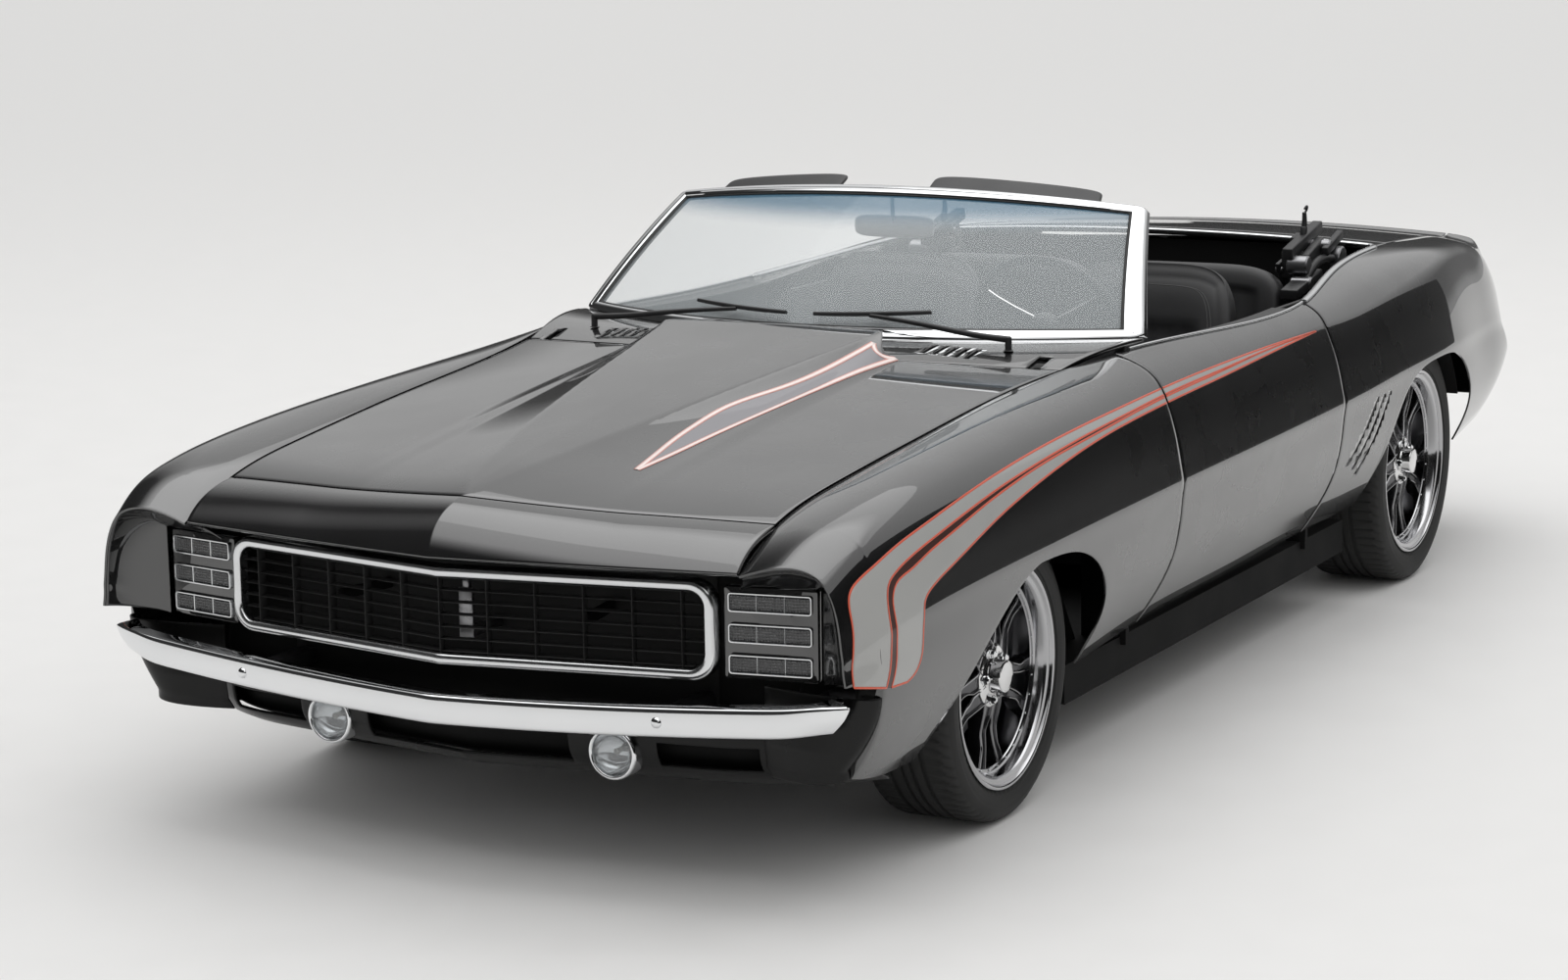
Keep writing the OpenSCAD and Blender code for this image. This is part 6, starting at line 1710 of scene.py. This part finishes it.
def make_tail():
    """Tail lamps with their bezels, and the hinges of hood and lid."""
    lens, bezel = [], []
    for i in range(3):
        y0 = 0.250 + 0.155 * i
        x = tail_out(y0, 0.720)
        mid = y0 + 0.0725
        def place(a, u, v):
            return np.stack([x - a + 0 * u, mid + u, 0.670 + v], -1)
        bezel.append(ring_part(0.0725, 0.050, 0.012, 0.006,
                               [(0, 0), (0, 0.019), (0.2, 0.0215), (0.8, 0.0215), (1, 0.019), (1, 0)], place))
        u, v = rows(np.linspace(-0.066, 0.066, 67), np.linspace(-0.0435, 0.0435, 45))
        swell = 0.0185 - 0.003 * np.maximum(np.abs(u / 0.066),
                                            np.abs(v / 0.0435)) ** 6 + 0.0007 * np.cos(2 * np.pi * v / 0.0087)
        lens.append(slab(place(swell, u, v), place(0.002 + 0 * u, u, v)))
    made("tail_lamp_lenses", both(joined(lens)), M["red"], angle=50, slot="lamp_red", nodes=["tail_lamps"])
    made("tail_lamp_bezels", both(joined(bezel)), M["chrome"], angle=40, slot="chrome")
    pin_z = hood_top(0.0, 0.95)[2] - 0.018
    hood_pin = np.array([HOOD_REAR - 0.060, HEADER_HALF - 0.027, pin_z])
    lid_pin = np.array([LID_FRONT + 0.060, 0.420, deck_top(LID_FRONT, 0.64, SEAM)[2] - 0.018])
    for name, pin, way in (("hood", hood_pin, 1), ("trunk_lid", lid_pin, -1)):
        knuckle = turned([(0.0068, 0), (0.0115, 0), (0.012, 0.0008), (0.012, 0.0232), (0.0115, 0.024),
                          (0.0068, 0.024)], 40, pin, (0, 1, 0))
        x = sorted((0.0115 * way, 0.110 * way))
        x2 = sorted((0.0682 * way, 0.110 * way))
        strap = [knuckle, box_part(pin + (x[0], 0.001, -0.011), pin + (x[1], 0.023, 0.003)),
                 box_part(pin + (x2[0], 0.001, 0.0), pin + (x2[1], 0.023, 0.006))]
        made(f"{name}_straps", both(joined(strap)), M["satin"], angle=40, body=name, slot="running_gear")
        ears = [box_part(pin + (-0.014, y, -0.014), pin + (0.014, y + 0.010, 0.010)) for y in (-0.012, 0.026)]
        ears.append(turned([(0, -0.006), (0.006, -0.006), (0.006, 0.030), (0, 0.030)], 24, pin, (0, 1, 0)))
        made(f"{name}_hinge_ears", both(joined(ears)), M["satin"], bevel=0.0015, slot="running_gear")


# The floor pan, sills included, takes the underbody black, which is partly painted shade beneath the body.
CARRIED = {"floor_pan": "under", "engine_bay": "under", "engine": "iron", "exhaust": "steel",
           "front_suspension": "iron", "rear_axle": "iron",
           "knuckle_left": "iron", "knuckle_right": "iron"}


def dress_carried():
    """Finishes for the solids that are shown as they are."""
    for name, key in CARRIED.items():
        mesh = frame["nodes"][name].data
        mesh.materials.clear()
        mesh.materials.append(M[key])


# Stage

CAMERA_AT = (7.8063, 3.768, 2.0104)
CAMERA_TURN = (-151.5979, -10.4088, -0.9095)
CAMERA_LENS = 3446.29 * 36 / 1600


def make_camera():
    yaw, pitch, roll = map(math.radians, CAMERA_TURN)
    ahead = Vector((math.cos(pitch) * math.cos(yaw), math.cos(pitch) * math.sin(yaw), math.sin(pitch)))
    level = ahead.cross(Vector((0, 0, 1))).normalized()
    upright = level.cross(ahead)
    right = math.cos(roll) * level + math.sin(roll) * upright
    up = -math.sin(roll) * level + math.cos(roll) * upright
    data = bpy.data.cameras.new("camera")
    data.sensor_fit, data.sensor_width, data.lens = "HORIZONTAL", 36, CAMERA_LENS
    data.clip_end = 200
    cam = bpy.data.objects.new("camera", data)
    turn = Matrix((right, up, -ahead)).transposed().to_4x4()
    cam.matrix_world = Matrix.Translation(CAMERA_AT) @ turn
    bpy.context.scene.collection.objects.link(cam)
    bpy.context.scene.camera = cam


def lamp(name, at, aim, size, watts):
    data = bpy.data.lights.new(name, "AREA")
    data.shape, data.size, data.size_y, data.energy = "RECTANGLE", size, size, watts
    obj = bpy.data.objects.new(name, data)
    obj.location = at
    obj.rotation_mode = "QUATERNION"
    obj.rotation_quaternion = (Vector(aim) - Vector(at)).to_track_quat("-Z", "Y")
    bpy.context.scene.collection.objects.link(obj)


def make_stage(stage):
    """Pale floor, soft light, what the paint reflects, and the camera at the photograph's angle."""
    make_camera()
    floor_mat = finish("studio floor", tuple(stage.floor), tuple(1.03 * c for c in stage.floor), 30, 0.0,
                       (0.55, 0.65))
    n = 48
    a = np.linspace(0, 2 * np.pi, n, endpoint=False)
    verts = np.stack([60 * np.cos(a), 60 * np.sin(a), 0 * a - 0.0005], -1)
    floor = mesh_object("studio_floor", verts, [tuple(range(n))], floor_mat, smooth=False)
    ends = [(-14, 3.4), (9, 3.4)]
    card = mesh_object("studio_card", [(x, y, z) for x, y in ends for z in (0.02, 2.1)], [(0, 1, 3, 2)], M["under"],
                       smooth=False)
    card.visible_camera = card.visible_diffuse = card.visible_transmission = card.visible_shadow = False
    world = bpy.data.worlds.new("studio")
    bpy.context.scene.world = world
    world.use_nodes = True
    tree = world.node_tree
    nodes, link = tree.nodes, tree.links.new
    at = nodes.new("ShaderNodeTexCoord")
    split = nodes.new("ShaderNodeSeparateXYZ")
    link(at.outputs["Generated"], split.inputs[0])

    def rising(steps):
        ramp = nodes.new("ShaderNodeValToRGB")
        ends = ramp.color_ramp.elements
        ends[0].position, ends[1].position = steps[0][0], steps[-1][0]
        for e, v in ((ends[0], steps[0][1]), (ends[1], steps[-1][1])):
            e.color = (v, v, v, 1)
        for place, v in steps[1:-1]:
            ends.new(place).color = (v, v, v, 1)
        link(split.outputs["Z"], ramp.inputs["Fac"])
        return ramp.outputs["Color"]

    def glow(colour, strength):
        back = nodes.new("ShaderNodeBackground")
        link(colour, back.inputs["Color"])
        back.inputs["Strength"].default_value = strength
        return back.outputs[0]

    def sums(kind, *values, clamp=False):
        node = nodes.new("ShaderNodeMath")
        node.operation, node.use_clamp = kind, clamp
        for socket, v in zip(node.inputs, values):
            if isinstance(v, (int, float)):
                socket.default_value = v
            else:
                link(v, socket)
        return node.outputs[0]

    toward = sums("MULTIPLY_ADD", split.outputs["X"], 0.8, sums("MULTIPLY", split.outputs["Y"], -1))
    side = sums("MULTIPLY", sums("MULTIPLY_ADD", toward, 3.3, -0.2, clamp=True),
                sums("MULTIPLY_ADD", split.outputs["Z"], -6.5, 5.4, clamp=True))
    low = sums("MULTIPLY", sums("MULTIPLY_ADD", split.outputs["Z"], -10, 2.2, clamp=True),
               sums("MULTIPLY", split.outputs["Y"], -4, clamp=True))
    flags = nodes.new("ShaderNodeMix")
    flags.data_type = "RGBA"
    link(sums("MAXIMUM", side, low), flags.inputs[0])
    link(rising(((0.0, 0.17), (0.03, 0.08), (0.11, 0.065), (0.21, 0.25), (0.50, 0.28), (0.70, 0.30), (0.80, 0.60),
                 (1.0, 0.70))), flags.inputs[6])
    flags.inputs[7].default_value = (0.012, 0.012, 0.012, 1)
    path = nodes.new("ShaderNodeLightPath")
    pick = nodes.new("ShaderNodeMixShader")
    link(path.outputs["Is Glossy Ray"], pick.inputs[0])
    link(glow(rising(((0.0, 0.30), (1.0, 1.0))), stage.sky), pick.inputs[1])
    link(glow(flags.outputs[2], stage.softbox), pick.inputs[2])
    link(pick.outputs[0], nodes["World Output"].inputs[0])
    lamp("ceiling light", (-1.5, 0.5, 9), (0, 0, 0), 12, stage.ceiling)
    bpy.context.scene.view_settings.view_transform = "Standard"


class LookSettings(bpy.types.PropertyGroup):
    """Colours of the car"""
    paint: FloatVectorProperty(name="Paint", description="Body paint", subtype="COLOR", size=3, min=0, max=1,
                               default=(0.002, 0.002, 0.0022))
    stripe: FloatVectorProperty(name="Stripe", description="Bands of the stripe", subtype="COLOR", size=3, min=0,
                                max=1,
                                default=(0.36, 0.36, 0.35))
    outline: FloatVectorProperty(name="Outline", description="Lines that edge the stripe", subtype="COLOR", size=3,
                                 min=0, max=1, default=(0.62, 0.085, 0.035))
    gap: FloatVectorProperty(name="Gap", description="Dark line between the two bands of the stripe", subtype="COLOR",
                             size=3,
                             min=0, max=1, default=(0.045, 0.012, 0.008))
    # The pale core of the spear's red lines is a painted highlight.
    pinline: FloatVectorProperty(name="Spear line", description="Lines that edge the spear on the hood",
                                 subtype="COLOR", size=3,
                                 min=0, max=1, default=(0.88, 0.74, 0.70))
    fringe: FloatVectorProperty(name="Spear fringe", description="Red fringe of the spear's lines", subtype="COLOR",
                                size=3,
                                min=0, max=1, default=(0.70, 0.30, 0.25))
    spear: FloatVectorProperty(name="Spear", description="Fill of the spear on the hood", subtype="COLOR", size=3,
                               min=0, max=1,
                               default=(0.20, 0.195, 0.21))
    gloss: FloatProperty(name="Gloss", description="Refractive index of the clear coat", default=2.0, min=1, max=4)
    band: FloatVectorProperty(name="Band", description="Tinted band of the windshield", subtype="COLOR", size=3,
                              min=0,
                              max=1, default=(0.10, 0.22, 0.32))
    band_height: FloatProperty(name="Band height", description="Where the tinted band starts", default=1.13,
                               unit="LENGTH")


class StageSettings(bpy.types.PropertyGroup):
    """Floor and light"""
    floor: FloatVectorProperty(name="Floor", description="Colour of the floor", subtype="COLOR", size=3, min=0, max=1,
                               default=(0.79, 0.785, 0.775))
    sky: FloatProperty(name="Sky", description="Strength of the soft light all round", default=1.2, min=0)
    softbox: FloatProperty(name="Softbox", description="Brightness of the studio ceiling in the paint", default=2.6,
                           min=0)
    ceiling: FloatProperty(name="Ceiling light", description="Power of the large light overhead", default=250, min=0)


class PieceOperator:
    bl_options = {"REGISTER"}
    makers = ()

    def execute(self, context):
        for make in self.makers:
            make()
        return {"FINISHED"}


class CAR_OT_finishes(PieceOperator, bpy.types.Operator):
    """Makes every finish of the car"""
    bl_idname = "car.finishes"
    bl_label = "Finishes"

    def execute(self, context):
        make_finishes(context.scene.car_look)
        return {"FINISHED"}


class CAR_OT_sides(PieceOperator, bpy.types.Operator):
    """Makes the fenders, doors and quarter panels"""
    bl_idname = "car.sides"
    bl_label = "Body sides"
    makers = (make_sides,)


class CAR_OT_hood_and_deck(PieceOperator, bpy.types.Operator):
    """Makes the hood, header, cowl, deck, trunk lid and tail"""
    bl_idname = "car.hood_and_deck"
    bl_label = "Hood and deck"
    makers = (make_hood_and_deck,)


class CAR_OT_wheels(PieceOperator, bpy.types.Operator):
    """Makes the tyres, rims, hub caps, nuts and brake discs"""
    bl_idname = "car.wheels"
    bl_label = "Wheels"
    makers = (make_wheels,)


class CAR_OT_front(PieceOperator, bpy.types.Operator):
    """Makes the grille, lamp covers, bumpers and valance"""
    bl_idname = "car.front"
    bl_label = "Front end"
    makers = (make_grille, make_lamp_covers, make_bumpers, make_valance, make_valance_corners, make_parking_lamps)


class CAR_OT_windshield(PieceOperator, bpy.types.Operator):
    """Makes the windshield, wipers, visors and mirror"""
    bl_idname = "car.windshield"
    bl_label = "Windshield"
    makers = (make_windshield,)


class CAR_OT_stripes(PieceOperator, bpy.types.Operator):
    """Makes the silver stripes and their outlines"""
    bl_idname = "car.stripes"
    bl_label = "Stripes"
    makers = (make_stripes,)


class CAR_OT_cabin(PieceOperator, bpy.types.Operator):
    """Makes the seats, dashboard, door trims and folded top"""
    bl_idname = "car.cabin"
    bl_label = "Cabin"
    makers = (make_seats, make_dash, make_door_trims, make_top_well)


class CAR_OT_tail(PieceOperator, bpy.types.Operator):
    """Makes the tail lamps and hinges, and finishes the solids shown as they are"""
    bl_idname = "car.tail"
    bl_label = "Tail and running gear"
    makers = (make_tail, dress_carried)


class CAR_OT_stage(PieceOperator, bpy.types.Operator):
    """Makes the floor, the light and the camera"""
    bl_idname = "car.stage"
    bl_label = "Stage"

    def execute(self, context):
        make_stage(context.scene.car_stage)
        return {"FINISHED"}


OPERATORS = (CAR_OT_finishes, CAR_OT_sides, CAR_OT_hood_and_deck, CAR_OT_wheels, CAR_OT_front, CAR_OT_windshield,
             CAR_OT_stripes, CAR_OT_cabin, CAR_OT_tail,
             CAR_OT_stage)


class CAR_PT_panel(bpy.types.Panel):
    """Lists the car's pieces and settings"""
    bl_idname = "CAR_PT_panel"
    bl_label = "Car"
    bl_space_type = "VIEW_3D"
    bl_region_type = "UI"
    bl_category = "Car"

    def draw(self, context):
        for group in (context.scene.car_look, context.scene.car_stage):
            for key in group.__annotations__:
                self.layout.prop(group, key)
        for op in OPERATORS:
            self.layout.operator(op.bl_idname)


CLASSES = (LookSettings, StageSettings, *OPERATORS, CAR_PT_panel)


def register():
    for c in CLASSES:
        bpy.utils.register_class(c)
    bpy.types.Scene.car_look = PointerProperty(type=LookSettings)
    bpy.types.Scene.car_stage = PointerProperty(type=StageSettings)


def unregister():
    del bpy.types.Scene.car_stage
    del bpy.types.Scene.car_look
    for c in reversed(CLASSES):
        bpy.utils.unregister_class(c)


def main():
    register()
    for op in OPERATORS:
        group, name = op.bl_idname.split(".")
        getattr(getattr(bpy.ops, group), name)()


if __name__ == "__main__":
    main()
